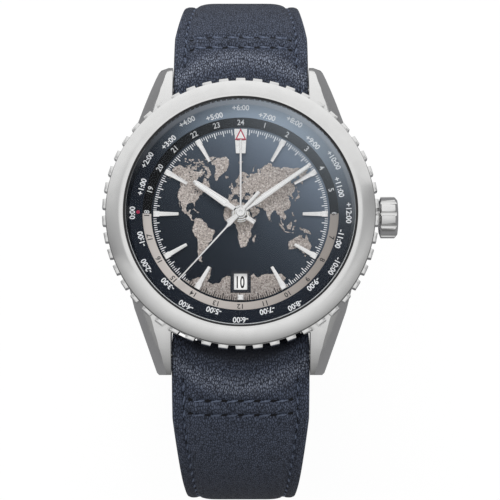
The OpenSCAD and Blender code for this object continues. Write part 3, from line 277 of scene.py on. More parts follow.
polishedSteel = metalFinish("polishedSteel", (0.86, 0.86, 0.855), (0.83, 0.83, 0.825), (0.1, 0.16), 500.0, 0.000001)
# a dark steel used as painted shade in the bezel's groove
paintedShadeSteel = metalFinish("paintedShadeSteel", (0.22, 0.22, 0.22), (0.17, 0.17, 0.17), (0.22, 0.3), 900.0, 0.000001)
satinSteel = metalFinish("satinSteel", (0.76, 0.76, 0.755), (0.68, 0.68, 0.675), (0.24, 0.34), 1500.0, 0.000003,
                         (1, 1, 0.08))
handSteel = metalFinish("handSteel", (0.93, 0.93, 0.925), (0.89, 0.89, 0.885), (0.1, 0.18), 900.0, 0.000001)
markerSteel = metalFinish("markerSteel", (0.95, 0.95, 0.945), (0.92, 0.92, 0.915), (0.16, 0.24), 1600.0, 0.000002)
brass = metalFinish("gearBrass", (0.83, 0.66, 0.34), (0.76, 0.58, 0.28), (0.2, 0.32), 1800.0, 0.000002)
bluedSteel = metalFinish("bluedSteel", (0.07, 0.14, 0.5), (0.1, 0.1, 0.42), (0.14, 0.24), 1800.0, 0.000001)
blackRubber = paintFinish("blackRubber", (0.012, 0.012, 0.013), (0.02, 0.02, 0.021), (0.5, 0.66), 3000.0)
ruby = paintFinish("ruby", (0.46, 0.01, 0.06), (0.36, 0.008, 0.05), (0.08, 0.16), bump=0.000001)
# the white print glows a little: painted light
whitePrint = paintFinish("whitePrint", srgb(244, 246, 248), srgb(236, 238, 240), (0.5, 0.6), 3000.0, 0.000002,
                         glow(0.16, (0.8, 0.82, 0.86)))
darkPrint = paintFinish("darkPrint", srgb(30, 27, 28), srgb(38, 34, 34), (0.5, 0.6))
# the date disc glows to brighten it in its recess: painted light
dateWhite = paintFinish("dateWhite", srgb(252, 252, 250), srgb(248, 248, 245), (0.45, 0.55), 3000.0, 0.000002,
                        glow(0.4))
# the lume filling glows well beyond lume's own faint glow: painted light
lumeWhite = paintFinish("lumeWhite", srgb(246, 247, 246), srgb(238, 240, 238), (0.55, 0.7), 6000.0, 0.000006,
                        glow(0.2))
redPaint = paintFinish("redPaint", srgb(205, 42, 78), srgb(194, 36, 70), (0.35, 0.45))
crimson = paintFinish("crimson", srgb(190, 18, 78), srgb(175, 14, 70), (0.35, 0.45))
edgePaint = paintFinish("edgePaint", srgb(34, 40, 56), srgb(29, 34, 48), (0.38, 0.5), 1500.0, 0.000006)
strapThread = paintFinish("strapThread", srgb(122, 133, 156), srgb(92, 102, 124), (0.6, 0.75), 7000.0, 0.00001)
# dark discs at the needle holes: painted shade
paintedHoleShade = paintFinish("paintedHoleShade", srgb(12, 14, 20), srgb(16, 18, 25), (0.8, 0.9))
waterNavy = paintFinish("waterNavy", srgb(30, 37, 50), srgb(34, 41, 54), (0.4, 0.5), 6000.0,
                        plain={"Specular IOR Level": 0.1})
frameDark = paintFinish("frameDark", srgb(18, 24, 36), srgb(22, 28, 40), (0.25, 0.35), 6000.0)

# Leather: the hide's own map runs across the strap and along it, 0.1 at the bar and 1 for each 200 mm
leatherSettings = {"gloss": 0.42, "stretch": (0.2, 0.12, 1), "crestBow": 5.7, "crestRise": (0.11, 0.12),
                   "crestFall": (0.13, 0.121), "hollow": (0.109, 0.1), "highlightSpeckle": (0.32, 0.66),
                   "paintedShadeAlong": (0.155, 0.245), "paintedShadeFull": 0.62}


def leatherFinish(s, name, colour, crease, pale, rough, cells, bump, onStrap):
    material, tree, shader, coords = startFinish(name, {"Specular IOR Level": s["gloss"]})
    if onStrap:
        hide = addNode(tree, "ShaderNodeUVMap", {"uv_map": "UVMap"}).outputs[0]
        coords = stretchOf(tree, hide, s["stretch"])
        axes = axesOf(tree, hide)
        # the padding's crest is bowed towards the case
        aside = calc(tree, "SUBTRACT", axes[0], 0.5)
        bow = calc(tree, "MULTIPLY", calc(tree, "MULTIPLY", aside, aside), s["crestBow"])
        band = calc(tree, "ADD", axes[1], bow)
    grain = useGroup(tree, hideGrain, coords, cells)
    base = blendColour(tree, noiseOf(tree, coords, 160.0, 3.0)[0], colour, tuple(c * 1.25 for c in colour))
    if onStrap:
        # painted shade: darker towards the far end, where the strap turns down away from the light
        base = blendColour(tree, rangeOf(tree, axes[1], *s["paintedShadeAlong"], 0.0, s["paintedShadeFull"], smooth=True), base, crease)
        # painted highlight on the crest where the strap leaves the case, broken up by noise, and painted shade in the
        # hollow before it
        paintedCrestHighlight = calc(tree, "MULTIPLY", rangeOf(tree, band, *s["crestRise"], smooth=True),
                     rangeOf(tree, band, *s["crestFall"], smooth=True))
        highlightSpeckle = noiseOf(tree, coords, cells * 1.1, 2.0)[0]
        paintedCrestHighlight = calc(tree, "MULTIPLY", paintedCrestHighlight, rangeOf(tree, highlightSpeckle, *s["highlightSpeckle"]))
        base = blendColour(tree, rangeOf(tree, band, *s["hollow"], smooth=True), base, crease)
        base = blendColour(tree, paintedCrestHighlight, base, pale)
    mask, height = grain.outputs
    dressShader(tree, shader, blendColour(tree, mask, crease, base), mask, (rough[1], rough[0]), height, bump)
    return material


# each strap leather's third colour is its painted crest highlight; the second also serves as painted shade
navyLeather = leatherFinish(leatherSettings, "navyLeather", srgb(86, 95, 115), srgb(30, 35, 48), srgb(164, 172, 191),
                            (0.42, 0.64), 3400.0, 0.00009, True)
liningLeather = leatherFinish(leatherSettings, "liningLeather", srgb(64, 68, 78), srgb(50, 54, 64), srgb(70, 74, 84),
                              (0.6, 0.75), 3200.0, 0.00003, True)
keeperLeather = leatherFinish(leatherSettings, "keeperLeather", srgb(50, 57, 74), srgb(22, 27, 38), srgb(70, 74, 84),
                              (0.4, 0.62), 2000.0, 0.00008, False)


# Dial and glass: finishes that change with the place on the dial
def placeOf(tree, coords):
    # how far a place lies to the right and up, in millimetres
    axes = axesOf(tree, coords)
    return calc(tree, "MULTIPLY", axes[0], 1000.0), calc(tree, "MULTIPLY", axes[1], 1000.0)


def paintedSheenOf(tree, x, y, start, spread):
    # a painted sheen that grows towards 1 o'clock
    lean = calc(tree, "ADD", calc(tree, "MULTIPLY", x, 0.8), y)
    return calc(tree, "EXPONENT", calc(tree, "DIVIDE", calc(tree, "SUBTRACT", lean, start), spread))


def startDialFinish(name, plain, scale):
    material, tree, shader, coords = startFinish(name, plain)
    mask, height = useGroup(tree, smudge, coords, scale).outputs
    return material, tree, shader, placeOf(tree, coords), mask, height


def dialFinish():
    # lacquered navy with a broad painted sheen towards 1 o'clock
    material, tree, shader, (x, y), mask, height = startDialFinish("dialNavy", {"Specular IOR Level": 0.08}, 9000.0)
    dark = blendColour(tree, mask, (0.0085, 0.0115, 0.0175), (0.0105, 0.0138, 0.02))
    dialPaintedSheen = calc(tree, "MULTIPLY", paintedSheenOf(tree, x, y, 14.3, 9.0), 1.0, clamp=True)
    dressShader(tree, shader, blendColour(tree, dialPaintedSheen, dark, (0.2, 0.255, 0.335)), mask, (0.4, 0.5), height, 0.000003)
    return material


def ringFinish():
    # 24-hour ring: dark for the night half, pale for the day half
    material, tree, shader, (x, y), mask, height = startDialFinish("hourRing", {"Specular IOR Level": 0.08}, 5000.0)
    # painted shade: the day half is paler at the left and darker at the right
    day = blendColour(tree, rangeOf(tree, x, -9.0, 11.0), srgb(222, 215, 210), srgb(172, 164, 158))
    night = blendColour(tree, mask, srgb(24, 25, 27), srgb(28, 29, 31))
    base = blendColour(tree, rangeOf(tree, y, 0.02, -0.02), night, day)
    dressShader(tree, shader, base, mask, (0.45, 0.55), height, 0.000003)
    return material


def hourPrintFinish():
    # pale numbers on the night half, dark ones on the day half
    material, tree, shader, (_, y), mask, _ = startDialFinish("hourPrint", {"Roughness": 0.5}, 5000.0)
    dark = blendColour(tree, mask, srgb(26, 26, 28), srgb(32, 32, 34))
    base = blendColour(tree, rangeOf(tree, y, 0.02, -0.02), srgb(238, 240, 242), dark)
    tree.links.new(base, shader.inputs["Base Color"])
    return material


def cityFinish():
    # city ring: navy flat with a painted sheen towards 1 o'clock; where it turns up under the glass it is dark, with a
    # painted reflection that is pale towards 1 o'clock
    material, tree, shader, (x, y), mask, height = startDialFinish("cityRing", {"Specular IOR Level": 0.12}, 6000.0)
    radius = calc(tree, "SQRT", calc(tree, "ADD", calc(tree, "MULTIPLY", x, x), calc(tree, "MULTIPLY", y, y)))
    navy = blendColour(tree, mask, srgb(26, 33, 44), srgb(30, 37, 49))
    angle = calc(tree, "ABSOLUTE", calc(tree, "SUBTRACT", calc(tree, "ARCTAN2", x, y), math.radians(17)))
    # painted sheen on the flat navy, strongest towards 1 o'clock
    near = rangeOf(tree, angle, math.radians(80), 0.0, smooth=True)
    cityPaintedSheen = blendColour(tree, near, navy, (0.37, 0.47, 0.59))
    # painted reflection on the turned-up slope, pale towards 1 o'clock
    near = rangeOf(tree, angle, math.radians(95), math.radians(20), smooth=True)
    turned = blendColour(tree, near, srgb(26, 30, 36), srgb(188, 195, 205))
    base = blendColour(tree, rangeOf(tree, radius, 16.3, 16.5), cityPaintedSheen, turned)
    dressShader(tree, shader, base, mask, (0.3, 0.4), height, 0.000002)
    return material


def mapFinish():
    # sanded grain: pale crumbs with dark pits and a few bright chips
    material, tree, shader, coords = startFinish("mapTaupe", {"Specular IOR Level": 0.3})
    flatCoords = stretchOf(tree, coords, (1, 1, 0.2))
    grain = noiseOf(tree, flatCoords, 4600.0, 3.0, Roughness=0.6, Distortion=0.8)[0]
    crumbs = rangeOf(tree, grain, 0.36, 0.56)
    wide = noiseOf(tree, flatCoords, 500.0, 2.0)[0]
    tone = blendColour(tree, wide, srgb(214, 202, 194), srgb(228, 218, 212))
    tone = blendColour(tree, rangeOf(tree, grain, 0.58, 0.66), tone, (0.93, 0.91, 0.89))
    pits = blendColour(tree, wide, srgb(124, 114, 109), srgb(146, 136, 131))
    # painted shade: the land at the foot and at the right is darkened, as it lies in the duller part of the glass
    x, y = placeOf(tree, coords)
    mapPaintedShade = calc(tree, "MAXIMUM", rangeOf(tree, y, -8.5, -11.0, 0.0, 0.3), rangeOf(tree, x, 3.0, 10.0, 0.0, 0.2))
    land = blendColour(tree, mapPaintedShade, blendColour(tree, crumbs, pits, tone), srgb(60, 56, 58))
    dressShader(tree, shader, land, crumbs, (0.75, 0.45), grain, 0.00009)
    return material


def makeCoating():
    # how strongly the glass coating shows: an even base, plus a painted reflection veil that grows towards 1 o'clock
    group, ins, outs = startGroup("coatingAndPaintedVeil", ("Mask",), Base=0.04, Haze=0.035)
    paintedVeil = calc(group, "MULTIPLY", paintedSheenOf(group, *placeOf(group, ins["Vector"]), 17.7, 6.5), ins["Haze"])
    group.links.new(calc(group, "ADD", ins["Base"], paintedVeil, clamp=True), outs["Mask"])
    return group


def crystalFinish(name, colour, base, paintedVeil, rough):
    material, tree, shader, coords = startFinish(name, {"Metallic": 1.0, "Base Color": colour, "Roughness": rough})
    coat = useGroup(tree, coatingAndPaintedVeil, coords)
    coat.inputs["Base"].default_value = base
    coat.inputs["Haze"].default_value = paintedVeil
    tree.links.new(coat.outputs["Mask"], shader.inputs["Alpha"])
    return material


dialNavy = dialFinish()
hourRing = ringFinish()
hourPrint = hourPrintFinish()
cityRing = cityFinish()
mapTaupe = mapFinish()
coatingAndPaintedVeil = makeCoating()
# the outer glass carries the painted reflection veil
crystalOuter = crystalFinish("crystalOuter", (0.8, 0.9, 1.0), 0.003, 0.15, 0.02)
crystalInner = crystalFinish("crystalInner", (0.8, 0.88, 1.0), 0.002, 0.0, 0.02)
crystalRim = crystalFinish("crystalRim", (0.9, 0.93, 0.96), 0.75, 0.0, 0.05)
backGlass = crystalFinish("backGlass", (0.92, 0.95, 1.0), 0.16, 0.0, 0.03)
print("materials ready")


# Modelling helpers: everything is modelled in millimetres and scaled to metres when it is finished
def clearSelection():
    if bpy.context.object and bpy.context.object.mode != "OBJECT":
        bpy.ops.object.mode_set(mode="OBJECT")
    bpy.ops.object.select_all(action="DESELECT")


def choose(piece):
    clearSelection()
    bpy.context.view_layer.objects.active = piece
    piece.select_set(True)


def addPrimitive(operator, location=(0, 0, 0), **values):
    clearSelection()
    operator(location=location, **values)
    return bpy.context.object


def editAll():
    bpy.ops.object.mode_set(mode="EDIT")
    bpy.ops.mesh.select_mode(type="VERT")
    bpy.ops.mesh.select_all(action="SELECT")


def pick(kind, test):
    mesh = bmesh.from_edit_mesh(bpy.context.object.data)
    bpy.ops.mesh.select_mode(type={"verts": "VERT", "edges": "EDGE"}[kind])
    for part in (mesh.verts, mesh.edges, mesh.faces):
        for item in part:
            item.select_set(False)
    for item in getattr(mesh, kind):
        if test(item):
            item.select_set(True)
    mesh.select_flush_mode()
    bmesh.update_edit_mesh(bpy.context.object.data)


def liesAt(edge, z, slack=1e-4):
    return all(abs(end.co.z - z) < slack for end in edge.verts)


def riseOf(edge):
    return abs(edge.verts[0].co.z - edge.verts[1].co.z)


def middle(edge):
    return (edge.verts[0].co + edge.verts[1].co) / 2


def tidyMesh():
    bpy.ops.mesh.select_all(action="SELECT")
    bpy.ops.mesh.remove_doubles(threshold=0.0005)
    bpy.ops.mesh.normals_make_consistent(inside=False)
    bpy.ops.object.mode_set(mode="OBJECT")


def traceOutline(name, points, closed=True):
    piece = addPrimitive(bpy.ops.mesh.primitive_plane_add, size=1)
    piece.name = name
    editAll()
    bpy.ops.mesh.merge(type="CENTER")
    bpy.ops.transform.translate(value=points[0])
    for before, after in zip(points, points[1:]):
        step = tuple(b - a for a, b in zip(before, after))
        bpy.ops.mesh.extrude_region_move(TRANSFORM_OT_translate={"value": step})
    if closed:
        bpy.ops.mesh.select_all(action="SELECT")
        bpy.ops.mesh.edge_face_add()
    return piece


def spinProfile(name, profile, steps, closed=True):
    # profile is (radius, height) in millimetres round the axis through the origin
    points = [(r, 0, z) for r, z in profile]
    if closed:
        points.append(points[0])
    piece = traceOutline(name, points, closed=False)
    bpy.ops.mesh.select_all(action="SELECT")
    bpy.ops.mesh.spin(steps=steps, angle=2 * math.pi, center=(0, 0, 0), axis=(0, 0, 1))
    tidyMesh()
    return piece


def slab(name, outline, z0, z1, bevel=0.0, segments=2):
    # an outline in the dial's plane, drawn up to a flat block whose top edges are bevelled
    piece = traceOutline(name, [(x, y, z0) for x, y in outline])
    bpy.ops.mesh.select_all(action="SELECT")
    bpy.ops.mesh.extrude_region_move(TRANSFORM_OT_translate={"value": (0, 0, z1 - z0)})
    bpy.ops.mesh.select_all(action="SELECT")
    bpy.ops.mesh.normals_make_consistent(inside=False)
    if bevel:
        pick("edges", lambda e: liesAt(e, z1))
        bpy.ops.mesh.bevel(offset=bevel, segments=segments, affect="EDGES", clamp_overlap=True)
    bpy.ops.object.mode_set(mode="OBJECT")
    return piece


def mirrored(right):
    # an outline from its right half
    return right + [(-x, y) for x, y in reversed(right)]


def clockTurn(degrees):
    return Matrix.Rotation(-math.radians(degrees), 4, "Z")


def applyModifier(piece, kind, **values):
    choose(piece)
    modifier = piece.modifiers.new(kind, kind)
    for key, value in values.items():
        setattr(modifier, key, value)
    bpy.ops.object.modifier_apply(modifier=modifier.name)


def dropPiece(piece):
    bpy.data.objects.remove(piece)


def cutAway(piece, cutter):
    applyModifier(piece, "BOOLEAN", operation="DIFFERENCE", object=cutter, solver="EXACT")
    dropPiece(cutter)


def copyPiece(piece, name, matrix):
    twin = piece.copy()
    twin.data = piece.data.copy()
    twin.name = name
    bpy.context.scene.collection.objects.link(twin)
    twin.data.transform(matrix)
    return twin


def joinPieces(pieces, name):
    clearSelection()
    for piece in pieces:
        piece.select_set(True)
    bpy.context.view_layer.objects.active = pieces[0]
    bpy.ops.object.join()
    pieces[0].name = name
    pieces[0].data.name = name
    return pieces[0]


def finishPiece(piece, body, materials, node=None, smooth=0):
    choose(piece)
    piece.scale = (0.001, 0.001, 0.001)
    bpy.ops.object.transform_apply(location=True, rotation=True, scale=True)
    if smooth:
        bpy.ops.object.shade_smooth_by_angle(angle=math.radians(smooth))
    # clearing resets which face has which material, so a tuple of several is only added
    if not isinstance(materials, tuple):
        piece.data.materials.clear()
        materials = (materials,)
    for material in materials:
        piece.data.materials.append(material)
    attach(piece, body)
    if node:
        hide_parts(node)


def copyCad(name, node):
    # a copy of a CAD node's mesh, in millimetres, merged so that its edges can be bevelled
    piece = bpy.data.objects.new(name, cadNodes[node].data.copy())
    piece.data.materials.clear()
    piece.data.transform(Matrix.Scale(1000, 4))
    bpy.context.scene.collection.objects.link(piece)
    choose(piece)
    if piece.data.has_custom_normals:
        bpy.ops.mesh.customdata_custom_splitnormals_clear()
    editAll()
    bpy.ops.mesh.remove_doubles(threshold=0.002)
    bpy.ops.object.mode_set(mode="OBJECT")
    return piece


def onRing(radius, degrees, z=0.0):
    a = math.radians(degrees)
    return Vector((radius * math.sin(a), radius * math.cos(a), z))


def onArc(centre, radius, degrees):
    a = math.radians(degrees)
    return centre[0] + radius * math.cos(a), centre[1] + radius * math.sin(a)


def arcPoints(centre, radius, first, last, count):
    return [onArc(centre, radius, first + (last - first) * i / count) for i in range(count + 1)]


# Bezel: a smooth dome over a toothed band, with a groove between them whose walls get a dark steel as painted shade
bezelSettings = {"rimR": 19.7, "windowR": 17.15, "lip": 0.2, "bottom": 7.22, "rimZ": 9.68, "flange": 0.13,
                 "lipZ": 10.42, "flangeR": 16.25, "ledgeZ": 7.97, "grooveR": 19.15, "grooveZ": 9.08, "teeth": 50,
                 "teethTop": 9.04, "rootR": 19.55, "tipR": 20.33, "toothFill": 0.682, "toothTaper": 0.78,
                 "flankBevel": 0.2, "topBevel": 0.06, "bandBevel": 0.1}


def makeDome(s):
    width = s["rimR"] - s["windowR"] - s["lip"]
    rise = s["lipZ"] - s["rimZ"]
    radius = (width * width + rise * rise) / (2 * rise)
    sweep = math.degrees(math.asin(width / radius))
    rim, window = s["rimR"], s["windowR"]
    profile = [(s["flangeR"], s["bottom"]), (s["grooveR"], s["bottom"]), (s["grooveR"], s["grooveZ"]),
               (rim + s["flange"], s["grooveZ"]), (rim + s["flange"], s["grooveZ"] + 0.04),
               (rim, s["grooveZ"] + 0.05), (rim, s["rimZ"] - 0.04)]
    profile += arcPoints((window + s["lip"], s["lipZ"] - radius), radius, 90 - sweep, 90, 18)
    profile += [(window + 0.04, s["lipZ"] - 0.03), (window, s["lipZ"] - 0.1), (window, s["ledgeZ"]),
                (s["flangeR"], s["ledgeZ"])]
    ring = spinProfile("bezelDome", profile, 256)
    # painted shade: the dome's outer wall and the flange under it get the dark steel, standing for the shade in the
    # groove
    for face in ring.data.polygons:
        if Vector(face.center[:2]).length > rim - 0.08 and face.center.z < s["rimZ"] - 0.03:
            face.material_index = 1
    finishPiece(ring, "bezel_group", (polishedSteel, paintedShadeSteel), "bezel", 30)


def makeTooth(s):
    # a block, tapered outwards and bevelled
    wide = s["rootR"] * math.sin(math.radians(360 / s["teeth"] * s["toothFill"] / 2))
    deep = (s["tipR"] - s["grooveR"] + 0.1) / 2
    tall = (s["teethTop"] - s["bottom"]) / 2
    tooth = addPrimitive(bpy.ops.mesh.primitive_cube_add, size=2)
    editAll()
    bpy.ops.transform.resize(value=(wide, deep, tall), center_override=(0, 0, 0))
    bpy.ops.transform.translate(value=(0, s["tipR"] - deep, s["bottom"] + tall))
    pick("verts", lambda v: v.co.y > s["tipR"] - 0.01)
    bpy.ops.transform.resize(value=(s["toothTaper"], 1, 1), center_override=(0, 0, 0))
    pick("edges", lambda e: middle(e).y > s["tipR"] - 0.01 and riseOf(e) < 0.01)
    bpy.ops.mesh.bevel(offset=s["flankBevel"], segments=2, affect="EDGES")
    pick("edges", lambda e: liesAt(e, s["teethTop"], 0.01) and middle(e).y > s["grooveR"] + 0.1)
    bpy.ops.mesh.bevel(offset=s["topBevel"], segments=1, affect="EDGES")
    bpy.ops.object.mode_set(mode="OBJECT")
    return tooth


def makeTeeth(s):
    tooth = makeTooth(s)
    inner, outer, bevel = s["grooveR"] - 0.1, s["rootR"], s["bandBevel"]
    band = spinProfile("bezelBand", [(inner, s["bottom"]), (outer - bevel, s["bottom"]), (outer, s["bottom"] + bevel),
                                     (outer, s["teethTop"] - bevel), (outer - bevel, s["teethTop"]),
                                     (inner, s["teethTop"])], 200)
    turns = [clockTurn(i * 360 / s["teeth"]) for i in range(s["teeth"])]
    whole = joinPieces([band] + [copyPiece(tooth, "tooth", turn) for turn in turns], "bezelTeeth")
    dropPiece(tooth)
    # painted shade: the band's upright faces between the teeth get the dark steel, standing for the groove's shade
    for face in whole.data.polygons:
        if Vector(face.center[:2]).length < s["rootR"] + 0.01 and abs(face.normal.z) < 0.9:
            face.material_index = 1
    finishPiece(whole, "bezel_group", (polishedSteel, paintedShadeSteel), None, 30)


makeDome(bezelSettings)
makeTeeth(bezelSettings)
print("bezel made")


# Loft: a grid primitive whose rows are moved onto rings of points
def loft(name, rings, closeEnds=True):
    rows, columns = len(rings) - 1, len(rings[0])
    piece = addPrimitive(bpy.ops.mesh.primitive_grid_add, x_subdivisions=columns, y_subdivisions=rows, size=1)
    piece.name = name
    for vertex in piece.data.vertices:
        vertex.co = rings[round((vertex.co.y + 0.5) * rows)][round((vertex.co.x + 0.5) * columns) % columns]
    editAll()
    bpy.ops.mesh.remove_doubles(threshold=0.0002)
    if closeEnds:
        bpy.ops.mesh.fill_holes(sides=0)
        bpy.ops.mesh.select_all(action="SELECT")
    bpy.ops.mesh.normals_make_consistent(inside=False)
    bpy.ops.object.mode_set(mode="OBJECT")
    return piece


# Strap: a padded section carried along a path of arcs, sewn down both sides and twice across
strapMaterials = (navyLeather, liningLeather, edgePaint)
strapSettings = {"barY": 20.2, "barZ": 1.9, "dip": 10.0, "shoulder": [(9.5, 34), (10.5, 16), (12, 30)],
                 "width": 20.44, "endWidth": 16, "cornerReach": 1.7, "taper": (10, 50), "thick": 2.5, "pad": 1.25,
                 "padPower": 4.4, "flange": 1.8, "lip": 0.14, "tip": 9, "tipRound": 0.6, "loopR": 1.82, "boreR": 0.8,
                 "buckleBoreR": 0.75, "slotWidth": 2.3, "slotLength": 4.2, "slotRound": 0.5, "holeR": 1.0, "holes": 7,
                 "holeStep": 6.5, "holeFromTip": 24, "groove": 0.2, "grooveWidth": 0.28, "crossRows": (6.1, 8.2),
                 "crossDeep": 0.42, "crossWidth": 0.4, "crossCrest": (0.16, 0.6), "stitchPitch": 2.1,
                 "crossPitch": 2.42, "stitchFrom": 3.4, "stitch": 1.5, "crossStitch": (1.75, 1.6), "threadR": 0.2,
                 "stitchHole": (0.52, 0.95), "crossHole": (0.62, 1.15), "slant": 0.22, "topColumns": 64,
                 "sideColumns": 7, "underColumns": 9, "ringGap": 0.5, "fineGap": 0.24, "fineFrom": 2.6, "fineTo": 10.2}
# name, body, node, run of arcs, length, side of the case, pointed
strapHalves = [("strapTwelve", "strap_12_group", "strap_12", [(27.3, 90), (18.7, 0)], 78, 1, False),
               ("strapSix", "strap_6_group", "strap_6", [(52.4, 75), (30.6, 25)], 115, -1, True)]


def smoothStep(low, high, value):
    t = max(0.0, min(1.0, (value - low) / (high - low)))
    return t * t * (3 - 2 * t)


def strapPath(s, run, along):
    y, z, angle = s["barY"], s["barZ"], math.radians(s["dip"])
    if along < 0:
        return y + along * math.cos(angle), z - along * math.sin(angle), angle
    left = along
    for index, (length, turn) in enumerate(run):
        part = left if index == len(run) - 1 else min(left, length)
        after = angle + math.radians(turn) * part / length
        if turn:
            radius = length / math.radians(turn)
            y += radius * (math.sin(after) - math.sin(angle))
            z += radius * (math.cos(after) - math.cos(angle))
        else:
            y += part * math.cos(angle)
            z -= part * math.sin(angle)
        angle = after
        left -= part
        if left <= 1e-9:
            break
    return y, z, angle


def strapHalfWidth(s, along, length, pointed):
    t = max(0.0, min(1.0, (along - s["taper"][0]) / (s["taper"][1] - s["taper"][0])))
    half = (s["width"] + (s["endWidth"] - s["width"]) * math.sin(math.pi / 2 * t)) / 2
    if pointed:
        u = min(0.995, max(0.0, (along - length + s["tip"]) / s["tip"]))
        half *= math.sqrt(1 - u * u)
    return half


def strapTop(s, x, along, half):
    # height of the upper face over the centre line: flange, stitch valley, then the crowned pad
    inward = half - abs(x)
    crown = s["pad"] * min(1, 0.5 + max(0, along) / 9) * max(0, min(1, 1.2 - along / 40))
    u = max(0.0, min(1.0, (inward - s["flange"]) / max(0.5, half * 0.7 - s["flange"])))
    lip = s["lip"] * math.sin(math.pi * min(1, inward / s["flange"])) ** 0.6 * (inward < s["flange"])
    height = s["thick"] / 2 + lip
    height += crown * (1 - (1 - u) ** s["padPower"])
    sewn = smoothStep(s["stitchFrom"] - 1.5, s["stitchFrom"] + 0.5, along)
    height -= s["groove"] * math.exp(-((inward - s["flange"]) / s["grooveWidth"]) ** 2) * sewn
    across = smoothStep(s["flange"] - 0.1, s["flange"] + 0.7, inward)
    for row in s["crossRows"]:
        height -= s["crossDeep"] * math.exp(-((along - row) / s["crossWidth"]) ** 2) * across
    first, second = s["crossRows"]
    high, wide = s["crossCrest"]
    return height + high * math.exp(-((along - (first + second) / 2) / wide) ** 2) * across


def strapSection(s, along, half, squeeze):
    # one closed ring of (x, height): underside, edge, upper face, edge, underside
    low = s["thick"] / 2 + (s["loopR"] - s["thick"] / 2) * (1 - smoothStep(0.4, 3.0, along))
    corner = min(0.55, half / 3)
    right = [(half - corner) * i / s["underColumns"] for i in range(s["underColumns"])]
    ring = [(x, -low) for x in right]
    topEdge = strapTop(s, half - corner, along, half)
    for i in range(s["sideColumns"]):
        a = -math.pi / 2 + math.pi * i / s["sideColumns"]
        reach = math.cos(a) ** 0.5 if math.cos(a) > 1e-6 else 0
        h = math.sin(a) * (topEdge if a > 0 else low)
        ring.append((half - corner + corner * reach, h))
    for i in range(s["topColumns"] + 1):
        x = (half - corner) * (1 - 2 * i / s["topColumns"])
        ring.append((x, strapTop(s, x, along, half)))
    ring += [(-x, h) for x, h in reversed(ring[s["underColumns"] + 1:s["underColumns"] + s["sideColumns"]])]
    ring += [(-(half - corner) * (1 - i / s["underColumns"]), -low) for i in range(s["underColumns"])]
    return [(x, h * squeeze) for x, h in ring]


def strapPlace(s, run, side, x, along, height):
    y, z, angle = strapPath(s, run, along)
    return Vector((x, side * (y + height * math.sin(angle)), z + height * math.cos(angle)))


def strapFrame(s, run, side, x, along, height, slant=0.0):
    # a matrix that lays a small piece on the strap: X across, Y along, Z up from the leather
    angle = strapPath(s, run, along)[2]
    across = Vector((side, 0, 0))
    forward = Vector((0, side * math.cos(angle), -math.sin(angle)))
    up = Vector((0, side * math.sin(angle), math.cos(angle)))
    turned = Matrix((across, forward, up)).transposed().to_4x4()
    place = Matrix.Translation(strapPlace(s, run, side, x, along, height))
    return place @ turned @ Matrix.Rotation(slant, 4, "Z")


def strapStations(s, length, pointed):
    # places along the strap, each with how far the section is squeezed to round the ends
    stations = [(-s["loopR"] * 0.97 * math.cos(a), math.sin(a)) for a in map(math.radians, (4, 18, 34, 50, 66, 80))]
    start = length - s["tipRound"] if pointed else length
    along = 0.0
    while along < start - 0.3:
        stations.append((along, 1.0))
        along += s["fineGap"] if s["fineFrom"] < along < s["fineTo"] else s["ringGap"]
    reach, angles = (s["tipRound"], (0, 25, 48, 68, 84)) if pointed else (s["thick"] / 2, (0, 18, 36, 54, 70, 84))
    return stations + [(start + reach * math.sin(a), math.cos(a)) for a in map(math.radians, angles)]


def addBore(place, radius, lying):
    # a cutter across the strap, or one straight through it
    bore = addPrimitive(bpy.ops.mesh.primitive_cylinder_add, vertices=28, radius=radius, depth=30 if lying else 9)
    bore.data.transform(place @ (Matrix.Rotation(math.pi / 2, 4, "Y") if lying else Matrix.Identity(4)))
    return bore


def addSlot(s, place):
    slot = addPrimitive(bpy.ops.mesh.primitive_cube_add, size=1)
    editAll()
    bpy.ops.transform.resize(value=(s["slotWidth"], s["slotLength"] + 4, 9), center_override=(0, 0, 0))
    pick("edges", lambda e: riseOf(e) > 1)
    bpy.ops.mesh.bevel(offset=s["slotRound"], segments=3, affect="EDGES")
    bpy.ops.object.mode_set(mode="OBJECT")
    slot.data.transform(place)
    return slot


def makeStrapHalf(s, name, run, length, side, pointed):
    stations = strapStations(s, length, pointed)
    rings = []
    for along, squeeze in stations:
        half = strapHalfWidth(s, along, length, pointed) - 0.25 * (1 - squeeze)
        # the inner end is hollowed to follow the round case
        hollow = s["cornerReach"] * min(1, max(0, -along / s["loopR"]))
        rings.append([strapPlace(s, run, side, x, along - hollow * (x / half) ** 4, h)
                      for x, h in strapSection(s, along, half, squeeze)])
    piece = loft(name, rings)
    dressStrapHalf(s, piece, [along for along, squeeze in stations])

    def frameAt(along):
        return strapFrame(s, run, side, 0, along, 0)

    # bores for the bars, the holes, and the tongue's slot
    cutters = [addBore(frameAt(0), s["boreR"], True)]
    if pointed:
        places = [length - s["holeFromTip"] - i * s["holeStep"] for i in range(s["holes"])]
        cutters += [addBore(frameAt(along), s["holeR"], False) for along in places]
    else:
        cutters += [addBore(frameAt(length), s["buckleBoreR"], True),
                    addSlot(s, frameAt(length - s["slotLength"] / 2 + 2))]
    for cutter in cutters:
        for material in strapMaterials:
            cutter.data.materials.append(material)
        for face in cutter.data.polygons:
            face.material_index = 2
        cutAway(piece, cutter)
    return piece


